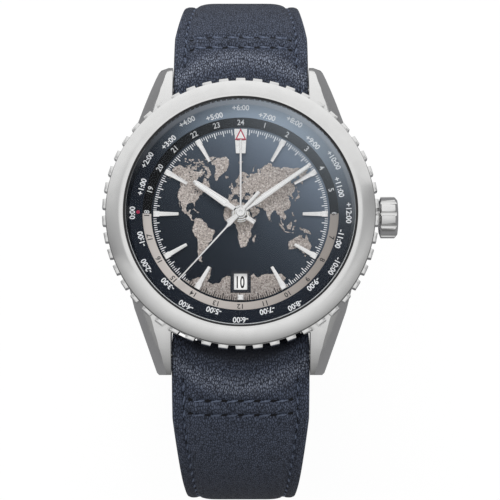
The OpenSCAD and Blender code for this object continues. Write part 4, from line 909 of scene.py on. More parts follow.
def dressStrapHalf(s, piece, stations):
    # leather above, lining below and edge paint between them; the hide's map runs in the strap's own length
    total = 2 * s["underColumns"] + 2 * s["sideColumns"] + s["topColumns"]
    under, side = s["underColumns"] / total, s["sideColumns"] / total
    for material in strapMaterials:
        piece.data.materials.append(material)
    grid = piece.data.uv_layers.active.data
    rows = len(stations) - 1
    for face in piece.data.polygons:
        if face.loop_total > 4:
            face.material_index = 2
            continue
        u = sum(grid[i].uv[0] for i in face.loop_indices) / face.loop_total
        inner = min(u, 1 - u)
        face.material_index = 1 if inner < under + side * 0.2 else 2 if inner < under + side * 0.55 else 0
        for i in face.loop_indices:
            across = (grid[i].uv[0] * total - total / 2) * s["width"] / s["topColumns"]
            grid[i].uv = (0.5 + across / 200, stations[round(grid[i].uv[1] * rows)] / 200 + 0.1)


def makeThread():
    # one stitch: a short rope of two strands, sunk at its ends
    thread = addPrimitive(bpy.ops.mesh.primitive_uv_sphere_add, segments=10, ring_count=9, radius=1)
    for vertex in thread.data.vertices:
        z = vertex.co.z
        swell = (1 - abs(z) ** 4) ** 0.5 if abs(z) < 0.999 else 0
        angle = math.atan2(vertex.co.y, vertex.co.x)
        reach = (0.78 + 0.22 * math.cos(2 * angle)) * swell
        turn = angle + z * 2.6
        vertex.co = (reach * math.cos(turn), z, reach * math.sin(turn) - 0.35 * z * z)
    return thread


def sewStrapHalf(s, name, run, length, side, pointed):
    thread = makeThread()
    hole = addPrimitive(bpy.ops.mesh.primitive_uv_sphere_add, segments=10, ring_count=4, radius=1)
    threads, holes = [], []

    def sew(x, along, slant, size, under=False):
        half = strapHalfWidth(s, along, length, pointed)
        height = -s["thick"] / 2 - 0.04 if under else strapTop(s, x, along, half) + 0.06
        lay = strapFrame(s, run, side, x, along, height, slant)
        threads.append(copyPiece(thread, "thread", lay @ Matrix.Diagonal((s["threadR"], size / 2, s["threadR"], 1))))

    # a dark disc at each needle hole: painted shade inside the hole
    def paintHoleShade(x, along, slant, size):
        half = strapHalfWidth(s, along, length, pointed)
        lay = strapFrame(s, run, side, x, along, strapTop(s, x, along, half) + 0.02, slant)
        holes.append(copyPiece(hole, "needleHoleShade", lay @ Matrix.Diagonal((size[0] / 2, size[1] / 2, 0.1, 1))))

    end = length - s["tip"] if pointed else length - 6
    for mirror in (-1, 1):
        for i in range(int((end - s["stitchFrom"]) / s["stitchPitch"])):
            along = s["stitchFrom"] + i * s["stitchPitch"]
            x = mirror * (strapHalfWidth(s, along, length, pointed) - s["flange"])
            paintHoleShade(x, along, mirror * side * 0.1, s["stitchHole"])
            along += s["stitchPitch"] / 2
            x = mirror * (strapHalfWidth(s, along, length, pointed) - s["flange"])
            sew(x, along, mirror * side * -s["slant"], s["stitch"])
            sew(x, along, mirror * side * s["slant"], s["stitch"], True)
    over, below = s["crossStitch"]
    for row in s["crossRows"]:
        half = strapHalfWidth(s, row, length, pointed) - s["flange"]
        number = int(2 * half / s["crossPitch"])
        for i in range(number + 1):
            x = (i - number / 2) * s["crossPitch"]
            paintHoleShade(x, row - 0.03, math.pi / 2 + 0.12, s["crossHole"])
            if i < number:
                sew(x + s["crossPitch"] / 2, row + 0.06, math.pi / 2 - side * 0.16, over)
                sew(x + s["crossPitch"] / 2, row, math.pi / 2, below, True)
    dropPiece(thread)
    dropPiece(hole)
    return joinPieces(threads, name + "Thread"), joinPieces(holes, name + "NeedleHoleShades")


def makeStraps(s):
    for name, body, node, arcs, length, side, pointed in strapHalves:
        run = s["shoulder"] + arcs
        piece = makeStrapHalf(s, name, run, length, side, pointed)
        finishPiece(piece, body, (), node, 50)
        threads, holes = sewStrapHalf(s, name, run, length, side, pointed)
        finishPiece(threads, body, strapThread, None, 60)
        finishPiece(holes, body, paintedHoleShade, None, 60)
        print(name, "made")


makeStraps(strapSettings)


# Keepers: a folded leather band round both layers of the strap, one fixed and one sliding
keeperSettings = {"hole": (16.5, 5.5), "thick": 1.0, "width": 4.5, "sliding": 0.25, "from": 5.2, "gap": 0.5,
                  "innerRound": 0.4, "outerRound": 1.4, "crease": (0.1, 0.34, 0.2)}


def keeperLoop(wide, tall, radius, count):
    # evenly turned rounded rectangle in the X and Z plane
    x, z = wide / 2 - radius, tall / 2 - radius
    return [onArc(centre, radius, start - 90 * i / count)
            for centre, start in (((x, z), 90), ((x, -z), 0), ((-x, -z), -90), ((-x, z), -180))
            for i in range(count + 1)]


def makeKeeper(s, name, body, node, y, above):
    strap = strapSettings
    arcs, length = strapHalves[0][3:5]
    tipY, tipZ, _ = strapPath(strap, strap["shoulder"] + arcs, length)
    centreY = tipY + y + s["width"] / 2
    centreZ = tipZ + strap["thick"] / 2 + above - s["hole"][1] / 2
    inner = keeperLoop(*s["hole"], s["innerRound"], 6)
    outer = keeperLoop(*[side + 2 * s["thick"] for side in s["hole"]], s["outerRound"], 6)
    deep, place, wide = s["crease"]
    rings = []
    for (ix, iz), (ox, oz) in zip(inner, outer):
        section = []
        for i in range(28):
            a = 2 * math.pi * i / 28
            across = math.copysign(abs(math.cos(a)) ** 0.35, math.cos(a)) * s["width"] / 2
            through = 0.5 + 0.5 * math.copysign(abs(math.sin(a)) ** 0.5, math.sin(a))
            # a crease just inside each edge of the outer face
            if math.sin(a) > 0:
                through -= deep * math.exp(-((abs(across) - s["width"] * place) / wide) ** 2)
            section.append(Vector((ix + (ox - ix) * through, centreY + across, centreZ + iz + (oz - iz) * through)))
        rings.append(section)
    rings.append(rings[0])
    piece = loft(name, rings, closeEnds=False)
    finishPiece(piece, body, keeperLeather, node, 50)


def makeKeepers(s):
    makeKeeper(s, "fixedKeeper", "strap_12_group", "fixed_keeper", s["from"], 0.0)
    second = s["from"] + s["width"] + s["gap"]
    makeKeeper(s, "slidingKeeper", "sliding_keeper_group", "sliding_keeper", second, s["sliding"])


makeKeepers(keeperSettings)
print("keepers made")


# Minute track: printing lies a hair above what carries it
dialSettings = {"topZ": 7.12, "trackR": 12.88, "longTick": 0.85, "shortTick": 0.46, "tickWidth": 0.135,
                "tickStep": 1.5, "printDepth": 0.012, "mapTop": 0.06, "landFrom": 147, "landTo": 217,
                "clearOf": 2.2, "clearOfTwelve": 4.6}


def addTick(s, wide, length):
    # one printed stroke at 12 o'clock
    piece = addPrimitive(bpy.ops.mesh.primitive_cube_add, size=1)
    piece.name = "tick"
    editAll()
    bpy.ops.transform.resize(value=(wide, length, s["printDepth"]), center_override=(0, 0, 0))
    bpy.ops.transform.translate(value=(0, s["trackR"] - length / 2, s["topZ"] + s["printDepth"] / 2))
    bpy.ops.object.mode_set(mode="OBJECT")
    return piece


def makeTicks(s):
    white, dark = [], []
    long = addTick(s, s["tickWidth"], s["longTick"])
    short = addTick(s, s["tickWidth"] * 0.8, s["shortTick"])
    for i in range(round(360 / s["tickStep"])):
        angle = i * s["tickStep"]
        # none under the hour markers
        if min(angle % 30, -angle % 30) < s["clearOfTwelve" if angle < 5 or angle > 355 else "clearOf"]:
            continue
        onLand = s["landFrom"] < angle < s["landTo"]
        turn = clockTurn(angle) @ Matrix.Translation((0, 0, s["mapTop"] if onLand else 0))
        (dark if onLand else white).append(copyPiece(long if i % 4 == 0 else short, "tick", turn))
    dropPiece(long)
    dropPiece(short)
    finishPiece(joinPieces(white, "minuteTrack"), "case", whitePrint)
    finishPiece(joinPieces(dark, "minuteTrackOnLand"), "case", darkPrint)


makeTicks(dialSettings)


# Numbers and time differences are drawn as text and made a mesh
def makeLabel(words, size, **values):
    # gives the mesh, the middle of what is drawn, and its width and height
    clearSelection()
    bpy.ops.object.text_add(location=(0, 0, 0))
    label = bpy.context.object
    values.update(body=words, size=size, align_x="CENTER", align_y="CENTER")
    for key, value in values.items():
        setattr(label.data, key, value)
    bpy.ops.object.convert(target="MESH")
    label = bpy.context.object
    ends = [[pickEnd(v.co[axis] for v in label.data.vertices) for pickEnd in (min, max)] for axis in (0, 1)]
    return label, [(low + high) / 2 for low, high in ends], [high - low for low, high in ends]


def wrapText(words, size, radius, degrees, height, bold, depth=0.012):
    # bent round the dial and laid on a slope
    label, (_, y), _ = makeLabel(words, size, extrude=depth / 2, offset=bold, resolution_u=3)
    for vertex in label.data.vertices:
        r = radius + vertex.co.y - y
        vertex.co = onRing(r, degrees + math.degrees(vertex.co.x / radius), height(r) + vertex.co.z + depth / 2)
    return label


ringPrintSettings = {"hourR": 13.83, "hourSize": 1.08, "hourBold": 0.014, "hourInner": (13.18, 7.42),
                     "hourOuter": (14.43, 7.85), "offsetR": (15.93, 15.08), "offsetSize": 1.12, "offsetBold": 0.028,
                     "topHour": 6, "ringInner": (14.43, 8.22), "ringBend": (16.38, 8.27), "dotR": 0.27,
                     "dotHigh": 0.014, "dotAt": 270.5}


def slopeHeight(inner, outer):
    return lambda r: inner[1] + (outer[1] - inner[1]) * (r - inner[0]) / (outer[0] - inner[0])


def makeRingPrints(s):
    height = slopeHeight(s["hourInner"], s["hourOuter"])
    hours = [wrapText(str(h or 24), s["hourSize"], s["hourR"], 15 * h, height, s["hourBold"]) for h in range(24)]
    finishPiece(joinPieces(hours, "hourNumbers"), "case", hourPrint)
    height = slopeHeight(s["ringInner"], s["ringBend"])
    labels = []
    for i in range(24):
        difference = (i + s["topHour"] + 11) % 24 - 11
        words = "%+d:00" % difference if difference else "0:00"
        labels.append(wrapText(words, s["offsetSize"], s["offsetR"][i % 2], 15 * i, height, s["offsetBold"]))
    finishPiece(joinPieces(labels, "timeDifferences"), "bezel_group", whitePrint)
    # the red dot at the place without a difference
    dot = addPrimitive(bpy.ops.mesh.primitive_circle_add, vertices=24, radius=s["dotR"], fill_type="NGON")
    editAll()
    bpy.ops.mesh.extrude_region_move(TRANSFORM_OT_translate={"value": (0, 0, s["dotHigh"])})
    tidyMesh()
    dot.data.transform(Matrix.Translation(onRing(s["offsetR"][1], s["dotAt"], height(s["offsetR"][1]))))
    dot.name = "homeTime"
    finishPiece(dot, "bezel_group", crimson)


makeRingPrints(ringPrintSettings)
print("printing made")


# Hour markers: a block at the rim end and a tapered bar, polished, with wide bevels
markerSettings = {"outR": 12.88, "width": 0.87, "innerWidth": 0.46, "length": 3.75, "block": 0.92, "height": 0.4,
                  "bevel": 0.18, "bar": 0.8, "twelveWidth": 1.914, "twelveInner": 1.44, "twelveBar": 0.93,
                  "twelveBevel": 0.12, "split": 0.05, "sixWidth": 0.99, "sixLength": 0.87}


def makeMarkers(s):
    z0, z1 = dialSettings["topZ"], dialSettings["topZ"] + s["height"]
    out, block, end = s["outR"], s["outR"] - s["block"], s["outR"] - s["length"]
    w, tip = s["width"] / 2, s["innerWidth"] / 2
    bar = w * s["bar"]
    baton = slab("baton", [(-w, out), (w, out), (w, block), (bar, block), (tip, end), (-tip, end), (-bar, block),
                           (-w, block)], z0, z1, s["bevel"])
    pieces = [copyPiece(baton, "baton", clockTurn(30 * h)) for h in (1, 2, 3, 4, 5, 7, 8, 9, 10, 11)]
    dropPiece(baton)
    w, tip, half = s["twelveWidth"] / 2, s["twelveInner"] / 2, s["split"] / 2
    bar = w * s["twelveBar"]
    right = slab("twelve", [(half, out), (w, out), (w, block), (bar, block), (tip, end), (half, end)], z0, z1,
                 s["twelveBevel"], 4)
    left = copyPiece(right, "twelveLeft", Matrix.Scale(-1, 4, (1, 0, 0)))
    choose(left)
    editAll()
    tidyMesh()
    w, end = s["sixWidth"] / 2, -out + s["sixLength"]
    six = slab("six", [(-w, -out), (w, -out), (w, end), (-w, end)], z0, z1, s["bevel"])
    markers = joinPieces(pieces + [right, left, six], "hourMarkers")
    finishPiece(markers, "case", markerSteel, "hour_markers", 30)


makeMarkers(markerSettings)
print("markers made")


# Hands: bevelled blades with a sunk strip of pale filling, each on its own pipe
# pipes, heights and rims go from the 24-hour hand up: 24-hour, hour, minute, second
handSettings = {"thick": 0.2, "bevel": 0.18, "pipes": (1.15, 0.9, 0.63, 0.38), "heights": (7.62, 8.04, 8.46, 8.88),
                "rims": (0.2, 0.26, 0.28, 0.32), "boss": 0.05, "sink": 0.06, "fillSlack": 0.02,
                "hour": {"angle": 304.575, "length": 8.5, "tail": 2.6, "wide": 0.62, "root": 0.42, "tailWide": 0.36,
                         "endWide": 0.43, "tip": 0.25, "fill": (2.75, 7.95, 0.21, 0.17)},
                "minute": {"angle": 54.9, "length": 12.7, "tail": 2.5, "wide": 0.5, "root": 0.36, "tailWide": 0.3,
                           "endWide": 0.31, "tip": 0.22, "fill": (2.7, 12.15, 0.16, 0.12)},
                "second": {"angle": 222, "length": 13.8, "tail": 4.07, "wide": 0.28, "tailWide": 0.25, "needle": 0.1,
                           "armTo": 2.5, "bevel": 0.045, "dimple": 0.2, "cap": (0.08, 0.16, 0.12, 0.11)},
                "gmt": {"length": 12.9, "stem": 0.15, "headHigh": 1.75, "headWide": 0.83, "outline": 0.19,
                        "stemBevel": 0.04, "headBevel": 0.03}}


def levelsOf(s, index):
    return s["heights"][index], s["heights"][index] + s["thick"]


def handBoss(s, index):
    z0, z1 = levelsOf(s, index)
    inner, outer, ease = s["pipes"][index] + 0.01, s["pipes"][index] + s["rims"][index], s["boss"]
    return spinProfile("boss", [(inner, z0), (outer, z0), (outer, z1 - ease), (outer - ease, z1), (inner + 0.03, z1),
                                (inner, z1 - 0.03)], 48)


def cutBore(s, piece, index):
    place, radius = (0, 0, s["heights"][index]), s["pipes"][index] + 0.03
    cutAway(piece, addPrimitive(bpy.ops.mesh.primitive_cylinder_add, place, vertices=48, radius=radius, depth=4))


def makeBladeHand(s, key, index, body, node):
    h, name = s[key], key + "Hand"
    z0, z1 = levelsOf(s, index)
    blade = slab(name, mirrored([(h["tailWide"], -h["tail"]), (h["root"], 2.2), (h["wide"], 2.6),
                                 (h["endWide"], h["length"] - 0.6), (h["tip"], h["length"])]), z0, z1, s["bevel"])
    low, high, lowWide, highWide = h["fill"]
    cutAway(blade, slab("groove", mirrored([(lowWide, low), (highWide, high)]), z1 - s["sink"], z1 + 0.2))
    cutBore(s, blade, index)
    slack = s["fillSlack"]
    fill = slab(name + "Fill", mirrored([(lowWide - slack, low + slack), (highWide - slack, high - slack)]),
                z1 - s["sink"] - 0.01, z1 - 0.02)
    whole = joinPieces([blade, handBoss(s, index)], name)
    for piece in (whole, fill):
        piece.data.transform(clockTurn(h["angle"]))
    finishPiece(whole, body, handSteel, node, 30)
    finishPiece(fill, body, lumeWhite)


def makeSecondHand(s, h):
    z0, z1 = levelsOf(s, 3)
    needle = slab("secondHand", mirrored([(h["tailWide"], -h["tail"]), (h["wide"], h["armTo"]),
                                          (h["needle"] + 0.03, h["armTo"] + 0.6), (h["needle"], h["length"])]),
                  z0, z1, h["bevel"])
    needle.data.transform(clockTurn(h["angle"]))
    outer, dimple = s["pipes"][3] + s["rims"][3], h["dimple"]
    side, top, edge, middleZ = [z1 + rise for rise in h["cap"]]
    cap = spinProfile("cap", [(0, z0 + 0.02), (outer, z0), (outer, side), (outer - 0.06, top), (dimple + 0.06, top),
                              (dimple, edge), (0, middleZ)], 48, closed=False)
    finishPiece(joinPieces([needle, cap], "secondHand"), "second_group", handSteel, "second_hand", 30)


def makeGmtHand(s, h):
    z0, z1 = levelsOf(s, 0)
    base, w = h["length"] - h["headHigh"], h["stem"]
    stem = slab("gmtStem", [(-w, 0), (w, 0), (w, base + 0.05), (-w, base + 0.05)], z0, z1, h["stemBevel"])
    cutBore(s, stem, 0)
    finishPiece(joinPieces([stem, handBoss(s, 0)], "gmtHand"), "gmt_group", handSteel, "gmt_hand", 30)
    w = h["headWide"]
    head = slab("gmtHead", [(-w, base), (w, base), (0, h["length"])], z0, z1, h["headBevel"], 1)
    finishPiece(head, "gmt_group", redPaint, None, 30)
    slope = w / h["headHigh"]
    w -= h["outline"] * (slope + math.sqrt(1 + slope * slope))
    base += h["outline"]
    panel = slab("gmtPanel", [(-w, base), (w, base), (0, base + w / slope)], z1 - 0.05, z1 + 0.01)
    finishPiece(panel, "gmt_group", lumeWhite)


makeBladeHand(handSettings, "hour", 1, "hour_group", "hour_hand")
makeBladeHand(handSettings, "minute", 2, "minute_group", "minute_hand")
makeSecondHand(handSettings, handSettings["second"])
makeGmtHand(handSettings, handSettings["gmt"])
print("hands made")


# Crystal: a shallow dome with a chamfered rim; only a thin coating shows from outside
crystalSettings = {"radius": 16.87, "rimZ": 9.37, "thick": 1.0, "dome": 0.75, "chamfer": 0.1, "steps": 20}


def makeCrystal(s):
    ball = (s["radius"] ** 2 + s["dome"] ** 2) / (2 * s["dome"])

    def domeZ(r):
        return s["rimZ"] + s["dome"] - ball + math.sqrt(ball * ball - r * r)

    steps = s["steps"]
    lower = [(s["radius"] * i / steps, domeZ(s["radius"] * i / steps)) for i in range(steps + 1)]
    reach = s["radius"] - s["chamfer"]
    upper = [(reach * i / steps, domeZ(reach * i / steps) + s["thick"]) for i in range(steps, -1, -1)]
    profile = lower + [(s["radius"], s["rimZ"] + s["thick"] - s["chamfer"])] + upper
    piece = spinProfile("crystalGlass", profile, 160, closed=False)
    for face in piece.data.polygons:
        if Vector(face.center[:2]).length > reach:
            face.material_index = 2
        elif face.normal.z < 0:
            face.material_index = 1
    finishPiece(piece, "bezel_group", (crystalOuter, crystalInner, crystalRim), "crystal", 30)


makeCrystal(crystalSettings)
print("crystal made")


# Raised map: coasts in degrees east and north, roughened by a seeded midpoint walk
mapSettings = {"scale": 0.0715, "east": 18.5, "rise": -1.93, "north": (0.113, 0.2), "south": (0.089, 0.1),
               "bow": 0.00017, "polar": 0.0014, "polarFrom": 55, "spread": 0.024, "spreadFrom": 3, "rounds": 2,
               "rough": 0.13, "thick": 0.06, "seed": 7, "islands": 64, "islandX": (-8.2, -5.0),
               "islandY": (5.7, 8.4), "islandSize": (0.07, 0.2),
               "clipR": 12.86, "rim": (147, 221, 2), "dateCut": [(-1.5, -11.75), (1.5, -11.75)]}

coasts = [
    [(-168, 66), (-166, 68.5), (-157, 71.2), (-148, 70.4), (-141, 69.6), (-135, 69), (-128, 70.3), (-124, 69.5),
     (-115, 68), (-108, 68), (-102, 67.8), (-96, 68.2), (-94, 71.8), (-91, 69.5), (-87, 68), (-85, 69.8),
     (-81.5, 69), (-82, 67), (-86, 66), (-87, 64.5), (-93, 62.5), (-94.5, 59), (-92.5, 57), (-88, 56.5),
     (-82.5, 55.2), (-82, 53), (-80, 51.3), (-79, 54.5), (-77, 57), (-78, 59), (-77.5, 62.3), (-73, 62),
     (-70, 60.5), (-69.5, 58.8), (-66, 58.8), (-64.5, 60.3), (-62, 57), (-58, 54.5), (-55.8, 52.5), (-60, 50.2),
     (-66, 50.2), (-70, 47.5), (-65, 49.2), (-64.5, 46.5), (-61, 45.5), (-66, 43.7), (-67, 45), (-70, 43.5),
     (-70, 41.7), (-74, 40.5), (-75.5, 38), (-76, 35.2), (-81, 31.5), (-80, 27), (-80.5, 25.2), (-82.5, 28),
     (-84, 30), (-89.5, 30), (-94, 29.5), (-97.3, 27.5), (-97.7, 22.5), (-95.5, 18.7), (-91, 18.7), (-90.3, 21),
     (-87, 21.5), (-88, 18), (-88.5, 15.8), (-83.3, 15), (-83.7, 11), (-81, 9), (-77.5, 8.7), (-78.5, 8),
     (-83, 8.3), (-86, 11), (-88, 13), (-94, 16), (-98, 16.3), (-105.5, 20), (-105.6, 22.5), (-109.5, 26),
     (-113, 31), (-114.7, 31.5), (-112, 27.5), (-109.6, 23), (-112, 25), (-115, 28), (-117, 32.5), (-120.6, 34.5),
     (-122.5, 37.5), (-124.3, 40.5), (-124, 46), (-123, 48.5), (-128, 51), (-130.5, 54.5), (-134, 58),
     (-139, 59.7), (-146, 60.8), (-151.5, 59.3), (-154, 58.5), (-158, 56.5), (-164, 54.6), (-158, 58.5),
     (-162, 59.5), (-165.5, 61.5), (-164.5, 63), (-161, 64.3), (-166.5, 64.6)],
    [(-73, 78), (-68, 80), (-60, 82), (-45, 82.5), (-32, 83.5), (-20, 81.5), (-19, 79), (-19, 76), (-22, 73),
     (-24, 70.5), (-32, 68), (-37, 65.8), (-41, 64), (-43, 60), (-48, 61), (-52, 64.5), (-53.5, 67.5), (-51, 69.5),
     (-54.5, 70.8), (-57, 74), (-61, 76), (-69, 76)],
    [(-62, 66.5), (-68, 70), (-78, 73.5), (-88, 73.8), (-85, 71), (-78, 70), (-74, 68), (-73, 65), (-78, 64.5),
     (-72, 62.8), (-66, 62), (-64.5, 65)],
    [(-105, 69), (-117, 70), (-117, 73), (-108, 73)],
    [(-62, 82.5), (-85, 82), (-90, 80), (-82, 76.5), (-76, 78.5)],
    [(-77.5, 8.5), (-75.5, 10.8), (-72, 12), (-71.5, 10.8), (-68, 11.2), (-62, 10.6), (-58, 7), (-52, 5), (-50, 1),
     (-48, -1), (-44, -2.5), (-38.5, -3.8), (-35, -6), (-35, -9), (-38.5, -13), (-39.5, -18), (-41, -22),
     (-45, -23.5), (-48.5, -26), (-49, -28.5), (-52, -33), (-56, -34.8), (-57.5, -36.5), (-58, -38.5), (-62, -39),
     (-65, -41), (-65, -43), (-67.5, -46), (-66, -48), (-69, -51), (-68.5, -53.5), (-66, -55), (-70, -55),
     (-74, -52.5), (-75.5, -49), (-74, -45), (-73.5, -41), (-73.5, -37), (-71.5, -31), (-70.5, -25),
     (-70.3, -18.5), (-76, -14), (-79.5, -8), (-81, -5), (-80, -2.5), (-80, 0.5), (-78, 2.5), (-77.3, 5)],
    [(-17.2, 14.7), (-16.5, 19), (-17, 21), (-14.5, 26), (-10, 29.5), (-9.5, 32.5), (-6, 35.8), (-2, 35.2),
     (3, 37), (10, 37.3), (11, 33.8), (15.5, 32.3), (20, 30.8), (22, 32.8), (29, 31), (32.3, 31.2), (34, 28),
     (35.5, 24), (37.2, 20.5), (39.5, 15.5), (43, 12.2), (44.5, 10.5), (51, 11.8), (49, 7), (45, 2.5), (41, -2),
     (39, -6.5), (40.6, -11), (40.5, -15.5), (36, -19), (35.3, -24), (32.7, -26), (32, -29), (28, -33),
     (22, -34.3), (18.4, -34), (17.5, -30), (15, -26), (13.5, -20), (12, -16.5), (13.5, -11), (12.5, -6), (9, -1),
     (9.5, 3.5), (7, 4.4), (4, 6.3), (-2, 4.8), (-7.5, 4.4), (-12, 7.7), (-15, 11)],
    [(-9.3, 38.6), (-8.8, 43.3), (-2, 43.5), (-1.2, 46), (-4.5, 48.4), (-1.5, 49.5), (2, 51), (5, 53.3), (8.5, 54),
     (8.2, 57), (10.5, 57.6), (10.8, 54.3), (14, 54.1), (19, 54.6), (21.2, 57), (24, 59), (29.5, 60), (25, 60.3),
     (21.5, 60.8), (21.3, 63), (25.3, 65.2), (22, 65.8), (17.5, 61.5), (17.5, 58.8), (16.3, 56.5), (14, 55.4),
     (12.8, 55.8), (11.3, 59), (7.5, 58), (5.2, 60.5), (6, 62.6), (10.5, 64.5), (14, 67.5), (18.5, 69.8),
     (25.5, 71), (30.8, 70), (40, 67.7), (40.5, 66.3), (34, 66.8), (37, 64), (40, 64.6), (44, 66), (44, 68.5),
     (53, 68.5), (60, 69), (67, 69.5), (67, 72.5), (72.5, 73), (72, 69), (74.5, 68.5), (75, 72.5), (80.5, 73.5),
     (87, 75), (98, 76), (104, 77.7), (113, 76), (110, 74), (120, 73), (127, 73), (131, 71.2), (140, 72.6),
     (150, 71.5), (160, 69.6), (170, 70), (180, 68.8), (187, 66.3), (180, 65), (178, 62.5), (170, 60), (163.5, 58),
     (162, 55.5), (157, 51), (155.5, 55.5), (160, 60), (163, 62.3), (156, 61.5), (152, 59.2), (143, 59.3),
     (136, 55), (141, 52.5), (140, 48), (135, 43.5), (130.5, 42.3), (127.8, 39.8), (129.5, 36.5), (127, 34.5),
     (126.5, 37.5), (122, 39.5), (118, 39), (122.3, 37), (119.5, 34.8), (122, 31), (120, 26), (116, 22.8),
     (110.5, 21), (107, 20.5), (106, 18.5), (109, 15), (109, 11.5), (105, 8.7), (103, 10.8), (100.8, 13.3),
     (99.5, 10), (101, 6.5), (103.5, 4), (104, 1.4), (101.3, 3), (98.5, 8), (98.5, 12.5), (97.3, 16.5), (94.3, 16),
     (92, 21.5), (88.5, 21.7), (85.5, 19.8), (80.3, 15.5), (79.8, 10.5), (77.6, 8), (76, 10.5), (73, 17),
     (72.7, 21), (69, 21.8), (66.8, 25), (61.5, 25.2), (57, 26.6), (51, 28), (48.5, 30.2), (50, 26.6), (52, 24.2),
     (56.2, 26), (57, 24), (59.8, 22.3), (57.8, 19), (52.3, 15.6), (45, 12.8), (43, 13.5), (42.5, 16.5),
     (39, 21.2), (35, 28), (34.4, 31.3), (36, 36.5), (30.5, 36.4), (27.3, 37), (26.5, 40), (29, 41.2), (35, 42),
     (41.5, 41.5), (37.5, 45), (39, 47.2), (34.8, 46.2), (33.5, 44.6), (33, 46.2), (30.5, 46.3), (28.7, 44),
     (27.9, 42), (26, 40.8), (23.8, 40.2), (24, 37.8), (22.5, 36.5), (21.2, 38.3), (19.4, 41.5), (16, 43.5),
     (13.6, 45.5), (12.4, 44.5), (14, 42.5), (18.4, 40.3), (16.8, 39.5), (16, 38), (15.6, 40), (12.2, 41.8),
     (10.3, 43.8), (7.5, 43.8), (3.2, 43.2), (3, 41.8), (0, 39.8), (-0.6, 37.8), (-2.2, 36.7), (-5.4, 36.1),
     (-8.9, 37)],
    [(114, -22), (117, -20.6), (122, -18), (124, -16.3), (128, -14.8), (131, -12.2), (136.5, -12.2), (135.8, -15),
     (140.5, -17.6), (141.6, -13), (142.6, -10.8), (145.3, -15), (146.5, -19), (151, -23.3), (153.3, -27.5),
     (151.5, -33), (150, -37.3), (146.3, -38.9), (143.5, -38.7), (140, -37.5), (138, -33.5), (135.5, -34.8),
     (131, -31.5), (126, -32.3), (120, -34), (115.3, -34.2), (115.7, -31.7), (113.8, -27)],
    [(144.8, -40.8), (148.2, -41), (147, -43.5), (145.5, -42.8)],
    [(131, -1), (134.5, -0.9), (135, -3.3), (138, -1.8), (144.5, -4), (147.5, -6), (150.5, -10.5), (147, -9.6),
     (143.5, -8.6), (139, -8), (137.8, -5.3), (133, -4)],
    [(109, 1.6), (111.3, 2.5), (113.5, 3.8), (117, 7), (119, 5), (117.8, 1), (116.3, -3.5), (111.5, -3.2),
     (110, -1.3)],
    [(95.3, 5.6), (98.5, 3.9), (101.5, 1.9), (104.5, -1.8), (106, -3.2), (105.6, -5.8), (102.3, -4), (99, 0)],
    [(105.3, -6.6), (108.5, -6.6), (114.4, -7.7), (119, -8.4), (122, -8.4), (121.5, -9.2), (114.3, -8.7),
     (106.5, -7.5)],
    [(119.5, -5.5), (120.4, -3), (121.5, -4.7), (122.8, -4), (121, -1), (124.8, 1.5), (120.3, 1), (119, -2.8)],
    [(120.3, 16), (120.6, 18.5), (122.2, 18.4), (122, 15.5), (124, 13), (121, 13.8)],
    [(122, 7.2), (124, 8.5), (126.3, 9), (126.2, 6.5), (124.5, 6.2)],
    [(130.9, 34), (133, 35.5), (136.8, 37.3), (139.5, 39), (140.3, 41.2), (141.8, 39.5), (140.8, 36), (137, 34.6),
     (133, 34.2)],
    [(129.8, 33.3), (131.8, 33.4), (130.8, 31.2)], [(140.2, 42), (141.7, 45.3), (145.2, 43.4), (143, 42.1)],
    [(142, 46.5), (142.3, 53.5), (143.4, 53), (143.5, 49.2)], [(79.9, 9), (81.5, 7.8), (80.3, 6)],
    [(44, -17), (47, -15.3), (49.5, -12.3), (50.3, -15.8), (47.6, -24.3), (45.2, -25.5), (43.5, -22.5)],
    [(-5.2, 50.1), (1, 51.2), (0.3, 53), (-1.8, 55.6), (-3.2, 58.5), (-5.3, 58.4), (-5, 55), (-3, 54),
     (-4.6, 52.5)],
    [(-9.8, 52), (-6.3, 52.2), (-6, 54.5), (-8, 55.2), (-9.8, 54)],
    [(-22.5, 64), (-18.5, 63.4), (-14, 64.6), (-15.5, 66.2), (-19, 66.1), (-23.5, 66.2)],
    [(52, 71), (56, 70.7), (60, 75), (68, 76.8), (63, 76), (56, 74)], [(11, 79.5), (17, 80), (26, 80), (18, 76.7)],
    [(-84.5, 22), (-80, 23.2), (-74.5, 20.3), (-77.5, 20), (-81, 22)],
    [(-74, 19.8), (-68.6, 18.8), (-71.5, 17.8), (-74, 18.3)],
    [(173, -34.8), (175.5, -36.8), (178.3, -37.8), (176.8, -40.5), (175.3, -41.5), (174, -39.3)],
    [(172.7, -40.8), (174, -42), (170.8, -45.8), (167, -46), (170.5, -42.9)],
    [(-59, 48), (-56, 51.4), (-53, 47.5)],
]
inlandWater = [
    [(47, 44), (51, 46.8), (53, 45), (51, 44), (52.5, 41.5), (53.8, 37), (50, 37.5), (49.3, 40.5), (47.6, 43)],
    [(-92, 46.8), (-88, 48.5), (-84.8, 46.6), (-88, 46.6)], [(-87.8, 42), (-87, 45.5), (-85, 45.5), (-86.3, 42)],
    [(-84, 46), (-80.5, 45.5), (-82, 43.3), (-83.6, 44.5)], [(-83, 41.7), (-76.5, 44), (-79, 42.8)],
    [(-124, 66), (-119, 66.5), (-121, 65)], [(-116, 61.5), (-110, 62.5), (-112, 61)],
    [(31.8, 0.8), (34.5, 0), (32.5, -2.5)], [(104, 51.6), (109.5, 55.5), (108.5, 53), (105.5, 51.4)],
    [(58.5, 46.5), (61.5, 46.5), (60.5, 44)], [(-98.5, 53.5), (-96.5, 52), (-98, 50.8)],
]
